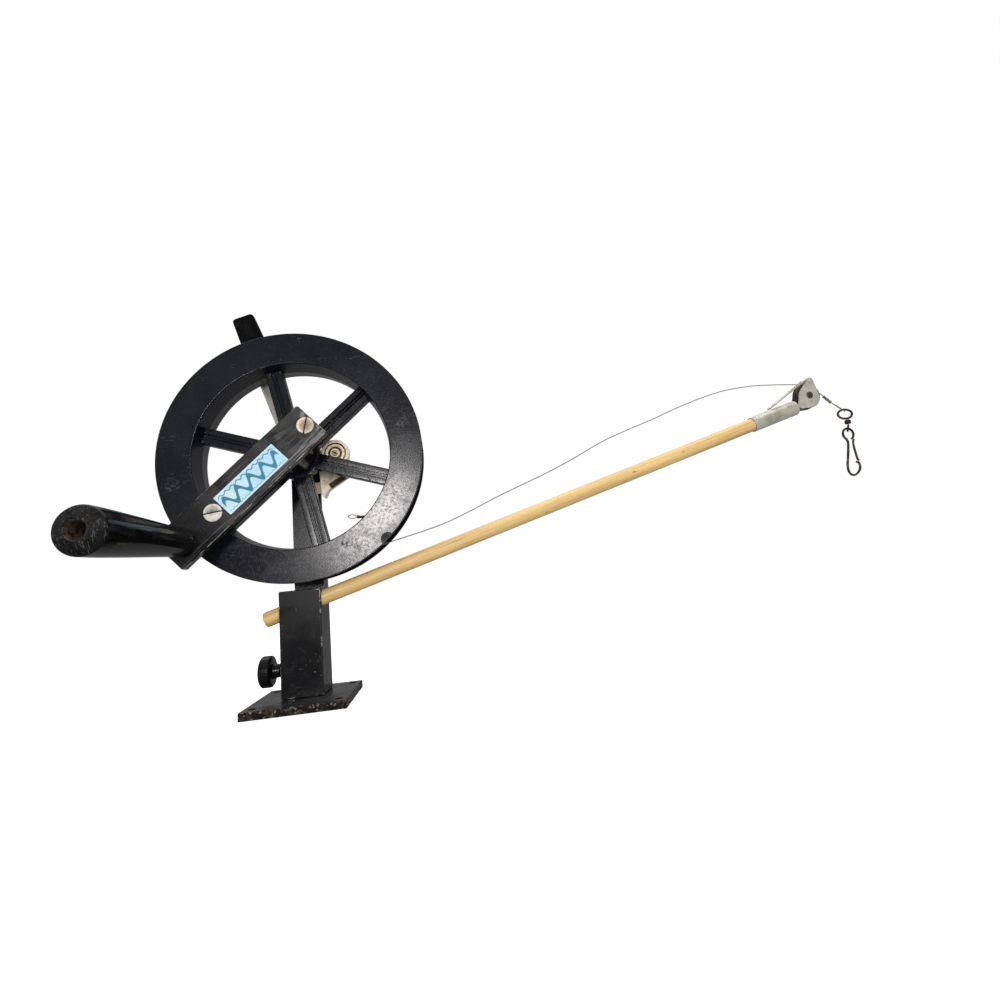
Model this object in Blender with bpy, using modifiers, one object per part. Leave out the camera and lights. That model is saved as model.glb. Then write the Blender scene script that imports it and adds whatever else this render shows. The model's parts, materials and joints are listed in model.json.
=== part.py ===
"""Hand-cranked fishing downrigger: a lift-off column, a spoked reel and a wooden boom with a tip pulley.

Metres, +Z up. The origin is the centre of the base plate's underside, +X runs along the boom
and +Y runs from the crank handle through the reel to the rear post.
"""

import math

import bmesh
import bpy
from mathutils import Matrix, Vector

GAP = 0.0003  # clearance between pieces that touch or turn in each other

# Base plate and the spigot that the column drops over
BASE_SIDE = 0.1185
BASE_THICK = 0.0095
BASE_HOLE_R = 0.0042
BASE_HOLE_X = 0.048
BASE_HOLE_Y = 0.046
COLUMN_SIDE = 0.0504
COLUMN_WALL = 0.003
COLUMN_Y = 0.009
COLUMN_TOP = 0.138
SPIGOT_TOP = 0.060
SPIGOT_WALL = 0.004
LOCK_Z = 0.041
LOCK_Y = 0.010
LOCK_SHANK_R = 0.004

# Boom: a wooden rod in the reel's middle plane, rising away from the column
BOOM_R = 0.009525
BOOM_SLOPE = math.radians(16.73)
BOOM_START = Vector((-0.0455, 0.0, 0.10455))
BOOM_LENGTH = 0.7325
FERRULE_OUTER_R = 0.0111
FERRULE_START = 0.7270
FERRULE_LENGTH = 0.0775

# Reel
REEL_Z = 0.31085
MID_Y = -0.00265
REEL_R = 0.1645
FLANGE_FRONT_Y = -0.0273
FLANGE_THICK = 0.0053
LIP_R = 0.1225
DRUM_INNER_R = 0.1199
DRUM_OUTER_R = 0.1240
WINDING_R = 0.1453
SPOKE_ANGLES = [42.6 + 60 * k for k in range(6)]
SPOKE_FRONT_Y = -0.0102
SPOKE_WIDTH = 0.0215
HUB_R = 0.030
FRONT_BOSS_R = 0.024
REAR_BOSS_R = 0.0263
REAR_BOSS_Y = 0.0197
BUSH_R = 0.0081
AXLE_R = 0.00635
NUT_RECESS_R = 0.0135
NUT_RECESS_DEPTH = 0.010
SEAM_STEP = 0.00005  # the spokes and hub stand back this far from the rim's joint face
NOTCH_ANGLE = -46.7
NOTCH_R = 0.0086
NOTCH_DEPTH = 0.0011

# Crank arm and its handle; distances along the arm are from the reel's axis
ARM_ANGLE = 222.8
ARM_FRONT_Y = -0.0673
ARM_THICK = 0.0095
ARM_WIDTH = 0.0503
ARM_SHORT_END = 0.047
ARM_LONG_END = 0.177
ARM_CORNER_R = 0.003
INNER_SCREW_AT = -0.0355
OUTER_SCREW_AT = 0.110
SCREW_HEAD_R = 0.0106
SCREW_SHANK_R = 0.004
GRIP_AT = 0.157
GRIP_END_Y = -0.2440
GRIP_SMALL_R = 0.016
GRIP_LARGE_R = 0.022
GRIP_BORE_R = 0.0086
GRIP_BORE_DEPTH = 0.040
SPINDLE_R = 0.005

# Post behind the reel, brake lever and counter
POST_FRONT_Y = 0.0345
POST_WIDTH = 0.0381
POST_BAR_THICK = 0.00635
POST_DEPTH = 0.0254
POST_BOTTOM = 0.066
POST_CHANNEL_TOP = 0.222
POST_TOP = 0.345
POST_BOLT_Z = (0.078, 0.124)
POST_BOLT_R = 0.004
LEVER_ANGLE = 109.4
LEVER_Y = (0.0243, 0.0273)
LEVER_WIDTH = 0.030
LEVER_END = 0.2295
CAP_START = 0.165
CAP_CORNER_R = 0.005
COUNTER_AXIS = Vector((0.045, 0.0, 0.3175))
COUNTER_WHEEL_R = 0.0189
COUNTER_WHEEL_Y = (0.0120, 0.0196)
CASE_Y = (0.0200, 0.0322)
CASE_WALL = 0.0018
DIGIT_WHEEL_R = 0.0115

# Tip pulley and its plates
TIP_AXIS = Vector((0.7475, MID_Y, 0.3527))
TIP_PULLEY_R = 0.0190
TIP_GROOVE_R = 0.0172
TIP_PLATE_GAP = 0.0125
TIP_PLATE_THICK = 0.0015
TIP_RIVET = Vector((0.7528, 0.0, 0.3752))

CABLE_R = 0.0007
# Hand-chosen route of the free cable, from the winding over the tip pulley to its crimped end
CABLE_ROUTE = [
    (0.0360, 0.1690), (0.0780, 0.1796), (0.1199, 0.1901), (0.1798, 0.2051), (0.2220, 0.2207),
    (0.2643, 0.2388), (0.3299, 0.2640), (0.3740, 0.2832), (0.4149, 0.3030), (0.4540, 0.3177),
    (0.4940, 0.3312), (0.5350, 0.3463), (0.5764, 0.3598), (0.6170, 0.3697), (0.6592, 0.3742),
    (0.6960, 0.3743), (0.7260, 0.3730), (0.7400, 0.3720), (0.7476, 0.3713), (0.7521, 0.3708),
    (0.7563, 0.3692), (0.7600, 0.3666), (0.7675, 0.3596), (0.7755, 0.3522),
]
CABLE_STEP = 0.0160
CABLE_TIP_STEP = 0.0030  # closer points where the cable bends over the tip pulley
CABLE_TIP_X = 0.738

# Crimped loop at the cable's end, and the swivel and snap that hang from it
CRIMP_END = Vector((0.7868, MID_Y, 0.3405))
LOOP_END = Vector((0.8065, MID_Y, 0.3262))
LOOP_AIM = (LOOP_END - CRIMP_END).normalized()
EYE_TOP = LOOP_END - LOOP_AIM * 0.0036
SWIVEL_TURN = Vector((0.8078, MID_Y, 0.3090))
SNAP_RING = Vector((0.8043, MID_Y, 0.2898))
SNAP_RING_R = 0.0088
EYE_WIRE_R = 0.0016
LOWER_WIRE_R = 0.0014
SNAP_WIRE_R = 0.0018
LATCH_WIRE_R = 0.0016
SNAP_PIVOT = Vector((0.8043, MID_Y, 0.2943))
LATCH_PIVOT = Vector((0.8052, MID_Y, 0.2760))
TACKLE_TURN = math.radians(-42)

# Crimped loop that holds the cable's inner end, in a hole through the reel's wheel
ANCHOR_START = Vector((0.0730, -0.0085, 0.2247))
ANCHOR_END = Vector((0.0852, -0.0085, 0.2233))
ANCHOR_R = 0.0021

REEL_AXIS = Vector((0.0, 0.0, REEL_Z))
Y_AXIS = Vector((0.0, 1.0, 0.0))


# ---------------------------------------------------------------- scene and helpers

def clear_scene():
    for item in list(bpy.data.objects):
        bpy.data.objects.remove(item, do_unlink=True)
    for group in list(bpy.data.collections):
        bpy.data.collections.remove(group)


def new_collection(name):
    group = bpy.data.collections.new(name)
    bpy.context.scene.collection.children.link(group)
    return group


clear_scene()
PARTS = new_collection("downrigger")
CUTTERS = new_collection("cutters")


def material(name, color, roughness, metallic=0.0):
    made = bpy.data.materials.new(name)
    made.use_nodes = True
    shader = made.node_tree.nodes["Principled BSDF"]
    shader.inputs["Base Color"].default_value = (*color, 1.0)
    shader.inputs["Roughness"].default_value = roughness
    shader.inputs["Metallic"].default_value = metallic
    return made


BLACK_PAINT = material("black_paint", (0.020, 0.020, 0.022), 0.38)
BLACK_PLASTIC = material("black_plastic", (0.024, 0.025, 0.029), 0.45)
GLOSS_BLACK = material("gloss_black", (0.010, 0.010, 0.010), 0.18)
VINYL = material("black_vinyl", (0.018, 0.018, 0.020), 0.40)
CREAM = material("cream_plastic", (0.71, 0.63, 0.49), 0.50)
ALUMINIUM = material("aluminium", (0.72, 0.70, 0.66), 0.40, 1.0)
STEEL = material("zinc_steel", (0.55, 0.54, 0.52), 0.38, 1.0)
GALVANISED = material("galvanised_steel", (0.46, 0.45, 0.41), 0.42, 1.0)
BRASS = material("brass", (0.60, 0.45, 0.28), 0.42, 1.0)
BRONZE = material("bronze", (0.45, 0.30, 0.16), 0.40, 1.0)
RUSTY = material("rusty_steel", (0.10, 0.045, 0.03), 0.65, 0.4)
WOOD = material("wood", (0.68, 0.46, 0.22), 0.55)
LABEL = material("label_vinyl", (0.62, 0.78, 0.84), 0.35)
FIBRE = material("fibre", (0.22, 0.14, 0.09), 0.80)
CABLE_WIRE = material("cable_wire", (0.35, 0.34, 0.33), 0.40, 1.0)


def add_object(name, mesh, finish, group=PARTS):
    made = bpy.data.objects.new(name, mesh)
    group.objects.link(made)
    if finish is not None:
        mesh.materials.clear()
        mesh.materials.append(finish)
    if group is CUTTERS:
        made.hide_render = True
        made.display_type = "WIRE"
    return made


def mesh_from(build):
    """A mesh from a bmesh that build(bm) fills."""
    mesh = bpy.data.meshes.new("mesh")
    bm = bmesh.new()
    build(bm)
    bmesh.ops.recalc_face_normals(bm, faces=bm.faces)
    bm.to_mesh(mesh)
    bm.free()
    return mesh


def shade_round(item, degrees=35):
    item.data.shade_smooth()
    item.data.set_sharp_from_angle(angle=math.radians(degrees))


def box(name, low, high, finish, group=PARTS):
    low, high = Vector(low), Vector(high)

    def build(bm):
        bmesh.ops.create_cube(bm, size=1.0)
        bmesh.ops.scale(bm, vec=high - low, verts=bm.verts)
        bmesh.ops.translate(bm, vec=(low + high) / 2, verts=bm.verts)

    return add_object(name, mesh_from(build), finish, group)


def cylinder(name, start, end, radius, finish, group=PARTS, sides=32):
    """A round or hexagonal rod from start to end."""
    start, end = Vector(start), Vector(end)
    span = end - start
    turn = span.to_track_quat("Z", "Y").to_matrix().to_4x4()

    def build(bm):
        bmesh.ops.create_cone(
            bm, cap_ends=True, segments=sides, radius1=radius, radius2=radius,
            depth=span.length, matrix=Matrix.Translation((start + end) / 2) @ turn,
        )

    made = add_object(name, mesh_from(build), finish, group)
    shade_round(made)
    return made


def along_y(name, centre, y_low, y_high, radius, finish, group=PARTS, sides=32):
    start = (centre.x, y_low, centre.z)
    end = (centre.x, y_high, centre.z)
    return cylinder(name, start, end, radius, finish, group, sides)


def turned(name, profile, place, direction, finish, steps=48, group=PARTS):
    """A closed profile of (radius, distance along direction), turned about the axis through place."""
    mesh = bpy.data.meshes.new(name)
    points = [(radius, 0.0, along) for radius, along in profile]
    count = len(points)
    mesh.from_pydata(points, [(k, (k + 1) % count) for k in range(count)], [])
    made = add_object(name, mesh, finish, group)
    turn = direction.to_track_quat("Z", "Y").to_matrix().to_4x4()
    made.matrix_world = Matrix.Translation(place) @ turn
    screw = made.modifiers.new("turn", "SCREW")
    screw.steps = screw.render_steps = steps
    screw.use_merge_vertices = True
    screw.merge_threshold = 0.00001
    screw.use_smooth_shade = True
    return bake(made, finish, group)


def bake(item, finish, group=PARTS):
    """The object's evaluated mesh as a plain mesh object in world space, welded and facing out."""
    bpy.context.view_layer.update()
    graph = bpy.context.evaluated_depsgraph_get()
    mesh = bpy.data.meshes.new_from_object(item.evaluated_get(graph))
    mesh.transform(item.matrix_world)
    bm = bmesh.new()
    bm.from_mesh(mesh)
    bmesh.ops.remove_doubles(bm, verts=bm.verts, dist=0.00001)
    bmesh.ops.recalc_face_normals(bm, faces=bm.faces)
    bm.to_mesh(mesh)
    bm.free()
    name = item.name
    bpy.data.objects.remove(item, do_unlink=True)
    made = add_object(name, mesh, finish, group)
    shade_round(made)
    return made


def extruded(name, outline, depth, frame, finish, group=PARTS):
    """A flat outline extruded by depth to both sides of the frame's XY plane."""
    curve = bpy.data.curves.new(name, "CURVE")
    curve.dimensions = "2D"
    curve.fill_mode = "BOTH"
    curve.extrude = depth / 2
    spline = curve.splines.new("POLY")
    spline.points.add(len(outline) - 1)
    for point, (across, up) in zip(spline.points, outline):
        point.co = (across, up, 0.0, 1.0)
    spline.use_cyclic_u = True
    made = add_object(name, curve, finish, group)
    made.matrix_world = frame
    return bake(made, finish, group)


def facing_y(centre_y):
    """A frame whose X and Y are the world's X and Z, at the given Y."""
    return Matrix(((1, 0, 0, 0), (0, 0, -1, centre_y), (0, 1, 0, 0), (0, 0, 0, 1)))


def plate(name, outline, y_low, y_high, finish, group=PARTS):
    """A flat plate: an outline of (x, z) points between two Y planes."""
    return extruded(name, outline, y_high - y_low, facing_y((y_low + y_high) / 2), finish, group)


def wire(name, points, radius, finish, closed=False, keep_curve=False):
    """A round wire through the points, which stays a curve object when keep_curve is set."""
    curve = bpy.data.curves.new(name, "CURVE")
    curve.dimensions = "3D"
    curve.bevel_depth = radius
    curve.bevel_resolution = 2
    curve.use_fill_caps = not closed
    spline = curve.splines.new("POLY")
    spline.points.add(len(points) - 1)
    for point, place in zip(spline.points, points):
        point.co = (*place, 1.0)
    spline.use_cyclic_u = closed
    made = add_object(name, curve, finish)
    return made if keep_curve else bake(made, finish)


def cut(item, *cutters):
    for cutter in cutters:
        modifier = item.modifiers.new("cut", "BOOLEAN")
        modifier.operation = "DIFFERENCE"
        modifier.object = cutter


def join(item, *others):
    for other in others:
        modifier = item.modifiers.new("join", "BOOLEAN")
        modifier.operation = "UNION"
        modifier.object = other


def pivot(name, place):
    """An empty on a joint's axis, for the pieces that turn about it."""
    empty = bpy.data.objects.new(name, None)
    empty.location = place
    PARTS.objects.link(empty)
    return empty


def mount_on(empty, *items):
    bpy.context.view_layer.update()
    for item in items:
        item.parent = empty
        item.matrix_parent_inverse = empty.matrix_world.inverted()


def arc(centre, radius, start, end, count):
    """Points round a circle in the XZ plane, from one angle to another in degrees."""
    found = []
    for k in range(count):
        angle = math.radians(start + (end - start) * k / (count - 1))
        found.append((centre[0] + radius * math.cos(angle), centre[1] + radius * math.sin(angle)))
    return found


def hull_of_circles(circles, steps=24):
    """The outline of a band stretched round circles given as (x, z, radius)."""
    points = []
    for x, z, radius in circles:
        points += [
            (x + radius * math.cos(math.tau * k / steps), z + radius * math.sin(math.tau * k / steps))
            for k in range(steps)
        ]
    points = sorted(set((round(x, 6), round(z, 6)) for x, z in points))

    def half(ordered):
        kept = []
        for point in ordered:
            while len(kept) > 1 and cross(kept[-2], kept[-1], point) <= 0:
                kept.pop()
            kept.append(point)
        return kept[:-1]

    return half(points) + half(points[::-1])


def cross(a, b, c):
    return (b[0] - a[0]) * (c[1] - a[1]) - (b[1] - a[1]) * (c[0] - a[0])


def smooth_path(points, spacing, tight_spacing=None, tight_from=None):
    """Points on a Catmull-Rom curve through the given ones, closer together where X passes tight_from."""
    points = [Vector(point) for point in points]
    ends = [2 * points[0] - points[1], *points, 2 * points[-1] - points[-2]]
    fine = []
    for k in range(1, len(ends) - 2):
        a, b, c, d = ends[k - 1:k + 3]
        for step in range(24):
            t = step / 24
            fine.append(0.5 * (2 * b + (c - a) * t + (2 * a - 5 * b + 4 * c - d) * t**2
                               + (3 * b - a - 3 * c + d) * t**3))
    fine.append(points[-1])
    kept, walked = [fine[0]], 0.0
    for a, b in zip(fine, fine[1:]):
        walked += (b - a).length
        tight = tight_from is not None and b.x > tight_from
        if walked >= (tight_spacing if tight else spacing):
            kept.append(b)
            walked = 0.0
    kept[-1] = fine[-1]
    return kept


def polar(radius, degrees, y=0.0):
    """A point at this radius and angle round the reel's axis."""
    angle = math.radians(degrees)
    return Vector((radius * math.cos(angle), y, REEL_Z + radius * math.sin(angle)))


def hexagon_nut(name, centre, y_low, y_high, radius, bore, finish):
    nut = along_y(name, centre, y_low, y_high, radius, finish, sides=6)
    nut.data.polygons.foreach_set("use_smooth", [False] * len(nut.data.polygons))
    cut(nut, along_y(name + "_bore", centre, y_low - 0.001, y_high + 0.001, bore, None, CUTTERS, 16))
    return nut


# ---------------------------------------------------------------- base and column

def make_base():
    half = BASE_SIDE / 2
    plate_body = box("base_plate", (-half, -half, 0.0), (half, half, BASE_THICK), BLACK_PAINT)
    for k, (x, y) in enumerate([(-1, -1), (1, -1), (1, 1), (-1, 1)]):
        place = Vector((x * BASE_HOLE_X, y * BASE_HOLE_Y, 0.0))
        hole = cylinder(
            f"base_hole_{k}", place - Vector((0, 0, 0.001)), place + Vector((0, 0, BASE_THICK + 0.001)),
            BASE_HOLE_R, None, CUTTERS, 16,
        )
        cut(plate_body, hole)
    outer = COLUMN_SIDE / 2 - COLUMN_WALL - GAP
    inner = outer - SPIGOT_WALL
    low, high = BASE_THICK + GAP, SPIGOT_TOP
    spigot = box("base_spigot", (-outer, COLUMN_Y - outer, low), (outer, COLUMN_Y + outer, high), STEEL)
    cut(spigot, box(
        "spigot_core", (-inner, COLUMN_Y - inner, low - 0.01), (inner, COLUMN_Y + inner, high + 0.01),
        None, CUTTERS,
    ))


def boom_point(distance, offset=0.0):
    """A point on the boom's axis, raised across it by offset in the XZ plane."""
    along = Vector((math.cos(BOOM_SLOPE), 0.0, math.sin(BOOM_SLOPE)))
    across = Vector((-math.sin(BOOM_SLOPE), 0.0, math.cos(BOOM_SLOPE)))
    start = BOOM_START + Vector((0.0, MID_Y, 0.0))
    return start + along * distance + across * offset


def make_column():
    half = COLUMN_SIDE / 2
    inner = half - COLUMN_WALL
    low, high = BASE_THICK + GAP, COLUMN_TOP
    column = box("column_tube", (-half, COLUMN_Y - half, low), (half, COLUMN_Y + half, high), BLACK_PAINT)
    core = box(
        "column_core", (-inner, COLUMN_Y - inner, low - 0.01), (inner, COLUMN_Y + inner, high + 0.01),
        None, CUTTERS,
    )
    boom_hole = cylinder(
        "boom_hole", boom_point(-0.02), boom_point(0.12), BOOM_R + GAP, None, CUTTERS, 28)
    lock_hole = cylinder(
        "lock_hole", (-half - 0.001, LOCK_Y, LOCK_Z), (-inner + 0.001, LOCK_Y, LOCK_Z),
        LOCK_SHANK_R + GAP, None, CUTTERS, 24)
    cut(column, core, boom_hole, lock_hole)
    for k, z in enumerate(POST_BOLT_Z):
        cut(column, along_y(
            f"column_bolt_hole_{k}", Vector((0, 0, z)), COLUMN_Y + inner - 0.001, COLUMN_Y + half + 0.001,
            POST_BOLT_R + GAP, None, CUTTERS, 14))


def make_lock():
    """The thumb screw that clamps the column on its spigot."""
    wall = -COLUMN_SIDE / 2
    axis = Vector((-1.0, 0.0, 0.0))
    place = Vector((wall, LOCK_Y, LOCK_Z))
    nut = cylinder(
        "lock_nut", place - Vector((GAP, 0, 0)), place - Vector((0.0055, 0, 0)), 0.0080, STEEL, sides=6)
    cut(nut, cylinder(
        "lock_nut_bore", place + Vector((0.001, 0, 0)), place - Vector((0.0070, 0, 0)),
        LOCK_SHANK_R + GAP, None, CUTTERS, 24))
    knob = turned("lock_knob", [
        (LOCK_SHANK_R + GAP, 0.0146), (0.0000, 0.0146), (0.0000, 0.0300), (0.0165, 0.0300), (0.0192, 0.0278),
        (0.0192, 0.0178), (0.0172, 0.0158), (0.0090, 0.0150), (0.0080, 0.0062), (LOCK_SHANK_R + GAP, 0.0062),
    ], place, axis, GLOSS_BLACK, 24)
    screw = turned("lock_screw", [
        (0.0, 0.0143), (LOCK_SHANK_R, 0.0143), (LOCK_SHANK_R, -0.0020), (0.0032, -0.0028), (0.0, -0.0028),
    ], place, axis, STEEL, 14)
    mount_on(pivot("lock_axis", place), knob, screw)


# ---------------------------------------------------------------- boom, tip and tackle

def make_boom():
    cylinder("boom_rod", boom_point(0.0), boom_point(BOOM_LENGTH), BOOM_R, WOOD, sides=24)
    direction = (boom_point(1.0) - boom_point(0.0)).normalized()
    inner = BOOM_R + GAP
    outer = FERRULE_OUTER_R
    solid = BOOM_LENGTH - FERRULE_START + GAP
    turned("boom_ferrule", [
        (outer, FERRULE_LENGTH - 0.0012), (outer, 0.0), (inner, 0.0), (inner, solid), (0.0, solid),
        (0.0, FERRULE_LENGTH), (outer - 0.0012, FERRULE_LENGTH),
    ], boom_point(FERRULE_START), direction, GALVANISED, 24)


def make_tip():
    end = boom_point(FERRULE_START + FERRULE_LENGTH + GAP + 0.0004)
    along = (boom_point(1.0) - boom_point(0.0)).normalized()
    neck = end + along * 0.0068
    outline = hull_of_circles([
        (TIP_AXIS.x - 0.0008, TIP_AXIS.z - 0.0022, 0.0172), (TIP_RIVET.x, TIP_RIVET.z, 0.0052),
        (neck.x, neck.z, 0.0066),
    ])
    for side, name in ((-1, "tip_plate_front"), (1, "tip_plate_rear")):
        inside = MID_Y + side * TIP_PLATE_GAP / 2
        outside = inside + side * TIP_PLATE_THICK
        made = plate(name, outline, min(inside, outside), max(inside, outside), GALVANISED)
        cut(
            made,
            along_y(name + "_hole", TIP_AXIS, MID_Y - 0.02, MID_Y + 0.02, 0.0033, None, CUTTERS, 24),
            along_y(name + "_top_hole", TIP_RIVET, MID_Y - 0.02, MID_Y + 0.02, 0.0019, None, CUTTERS, 20),
        )
        foot = boom_point(FERRULE_START + 0.0375, FERRULE_OUTER_R + 0.0017)
        foot.y = MID_Y + side * 0.0028
        head = Vector((0.7494, (inside + outside) / 2, 0.3790))
        join(made, cylinder(name + "_brace", foot, head, 0.0013, None, CUTTERS, 10))
    half = TIP_PLATE_GAP / 2 + TIP_PLATE_THICK
    turned("tip_axle", [
        (0.0052, -half - 0.0015), (0.0052, -half - GAP), (0.0030, -half - GAP), (0.0030, half + GAP),
        (0.0052, half + GAP), (0.0052, half + 0.0015), (0.0, half + 0.0015), (0.0, -half - 0.0015),
    ], TIP_AXIS, Y_AXIS, STEEL, 14)
    turned("tip_spacer", [
        (0.0030, -half - 0.0011), (0.0030, -half - GAP), (0.0016, -half - GAP), (0.0016, half + GAP),
        (0.0030, half + GAP), (0.0030, half + 0.0011), (0.0, half + 0.0011), (0.0, -half - 0.0011),
    ], TIP_RIVET + Vector((0, MID_Y, 0)), Y_AXIS, STEEL, 12)
    wide = TIP_PLATE_GAP / 2 - 0.0010
    pulley = turned("tip_pulley", [
        (TIP_PULLEY_R, -wide), (0.0033, -wide), (0.0033, wide), (TIP_PULLEY_R, wide),
        (TIP_PULLEY_R, wide - 0.0012), (TIP_GROOVE_R, 0.0011), (TIP_GROOVE_R, -0.0011),
        (TIP_PULLEY_R, -wide + 0.0012),
    ], TIP_AXIS, Y_AXIS, FIBRE, 28)
    mount_on(pivot("tip_pulley_axis", TIP_AXIS), pulley)


def ring_points(centre, across, up, count=28):
    """Points of an ellipse through centre, spanned by two half-axis vectors."""
    return [
        centre + across * math.cos(math.tau * k / count) + up * math.sin(math.tau * k / count)
        for k in range(count)
    ]


def make_cable():
    path = smooth_path([(x, MID_Y, z) for x, z in CABLE_ROUTE], CABLE_STEP, CABLE_TIP_STEP, CABLE_TIP_X)
    wire("free_cable", path, CABLE_R, CABLE_WIRE, keep_curve=True)
    start, end, aim = Vector((0.7758, MID_Y, 0.3514)), CRIMP_END, LOOP_AIM
    cylinder("crimp_sleeve", start, end, 0.0022, STEEL, sides=12)
    out = aim.cross(Y_AXIS) * 0.0031 + Y_AXIS * 0.0035
    root = end + aim * 0.0012
    loop = [root + out * 0.22, root + aim * 0.007 + out * 0.8, root + aim * 0.013 + out,
            LOOP_END - aim * 0.0022 + out * 0.85, LOOP_END, LOOP_END - aim * 0.0022 - out * 0.85,
            root + aim * 0.013 - out, root + aim * 0.007 - out * 0.8, root - out * 0.22]
    wire("cable_end_loop", smooth_path(loop, 0.0022), 0.0006, CABLE_WIRE)


def make_tackle():
    """The swivel and the snap hook that hang from the cable's end loop."""
    across = Vector((math.cos(TACKLE_TURN), math.sin(TACKLE_TURN), 0.0))
    side = Vector((math.sin(TACKLE_TURN), -math.cos(TACKLE_TURN), 0.0))
    up = Vector((0, 0, 1))
    eye_centre = EYE_TOP + Vector((0.0022, 0.0, -0.0070))
    eye_ring = ring_points(eye_centre, across * 0.0088, EYE_TOP - eye_centre, 18)
    top_eye = wire("swivel_top_eye", eye_ring, EYE_WIRE_R, RUSTY, True)
    barrel = turned("swivel_barrel", [
        (0.0032, 0.0030), (0.0045, 0.0014), (0.0045, -0.0020), (0.0034, -0.0034), (0.0, -0.0034),
        (0.0, 0.0030),
    ], SWIVEL_TURN, up, RUSTY, 14)
    eye_high = SWIVEL_TURN - up * 0.0054
    lower = wire(
        "swivel_lower_eye",
        ring_points((eye_high + SNAP_PIVOT) / 2, side * 0.0062, (eye_high - SNAP_PIVOT) / 2, 16),
        LOWER_WIRE_R, RUSTY, True)
    mount_on(pivot("swivel_swing_axis", LOOP_END), top_eye, barrel)
    mount_on(pivot("swivel_spin_axis", SWIVEL_TURN), lower)

    y = MID_Y
    hook = [
        (0.8012, 0.2774), (0.8000, 0.2700), (0.7965, 0.2560), (0.7932, 0.2440), (0.7922, 0.2352),
        (0.7942, 0.2292), (0.7995, 0.2262), (0.8062, 0.2290), (0.8118, 0.2350), (0.8128, 0.2420),
        (0.8104, 0.2474), (0.8078, 0.2462),
    ]
    ring = arc((SNAP_RING.x, SNAP_RING.z), SNAP_RING_R, -62, 238, 18)
    body = [Vector((x, y, z)) for x, z in ring + hook]
    snap = wire("snap_hook", smooth_path(body, 0.0036), SNAP_WIRE_R, RUSTY)
    latch_points = [
        (0.8086, 0.2806), (0.8064, 0.2770), (0.8060, 0.2690), (0.8066, 0.2600), (0.8071, 0.2545),
        (0.8078, 0.2500), (0.8094, 0.2472),
    ]
    latch = wire(
        "snap_latch", smooth_path([(x, y - 0.0038, z) for x, z in latch_points], 0.0030), LATCH_WIRE_R, RUSTY)
    mount_on(pivot("snap_swing_axis", SNAP_PIVOT), snap)
    mount_on(pivot("latch_axis", LATCH_PIVOT), latch)


# ---------------------------------------------------------------- reel

def spoke_outline(width, depth):
    """Half a spoke's section, flat at the reel's middle plane, with two grooves and a rib on its face."""
    edge, groove, rib, cut_depth, soft = width / 2, 0.0030, 0.0010, 0.0034, 0.0008
    right = [
        (edge, 0.0), (edge, depth - soft), (edge - soft, depth), (groove, depth),
        (groove, depth - cut_depth), (rib, depth - cut_depth), (rib, depth - 0.0008),
    ]
    return right + [(-x, y) for x, y in right[::-1]]


def make_reel_half(name, side, rim, boss):
    """A half of the moulded reel: its rim turned from a profile, six half spokes, the hub and a boss."""
    half = turned(name, rim, REEL_AXIS, Y_AXIS, BLACK_PLASTIC, 56)
    face = MID_Y + side * (GAP / 2 + SEAM_STEP)
    depth = abs(SPOKE_FRONT_Y - MID_Y) - GAP / 2 - SEAM_STEP
    spokes = []
    for k, degrees in enumerate(SPOKE_ANGLES):
        out = (polar(1.0, degrees) - polar(0.0, degrees)).normalized()
        toward = Vector((0.0, side, 0.0))
        across = toward.cross(out)
        middle = polar((0.020 + DRUM_OUTER_R - 0.0015) / 2, degrees, face)
        frame = Matrix.Translation(middle) @ Matrix((across, toward, -out)).transposed().to_4x4()
        spokes.append(extruded(
            f"{name}_spoke_{k}", spoke_outline(SPOKE_WIDTH, depth), DRUM_OUTER_R - 0.0215, frame,
            None, CUTTERS))
    reach = MID_Y + side * abs(SPOKE_FRONT_Y - MID_Y)
    hub_face = face + side * SEAM_STEP
    reach += side * SEAM_STEP
    hub = along_y(
        name + "_hub", REEL_AXIS, min(hub_face, reach), max(hub_face, reach), HUB_R, None, CUTTERS, 36)
    boss_r, boss_end = boss
    root = (hub_face + reach) / 2
    nose = along_y(
        name + "_boss", REEL_AXIS, min(root, boss_end), max(root, boss_end), boss_r, None, CUTTERS, 36)
    join(half, *spokes, hub, nose)
    bore = along_y(name + "_bore", REEL_AXIS, -0.07, 0.04, BUSH_R + GAP, None, CUTTERS, 24)
    cut(half, bore)
    for which, at in (("inner", INNER_SCREW_AT), ("outer", OUTER_SCREW_AT)):
        cut(half, along_y(
            f"{name}_{which}_hole", arm_point(at), -0.03, 0.03, SCREW_SHANK_R + GAP, None, CUTTERS, 14))
    return half


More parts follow.
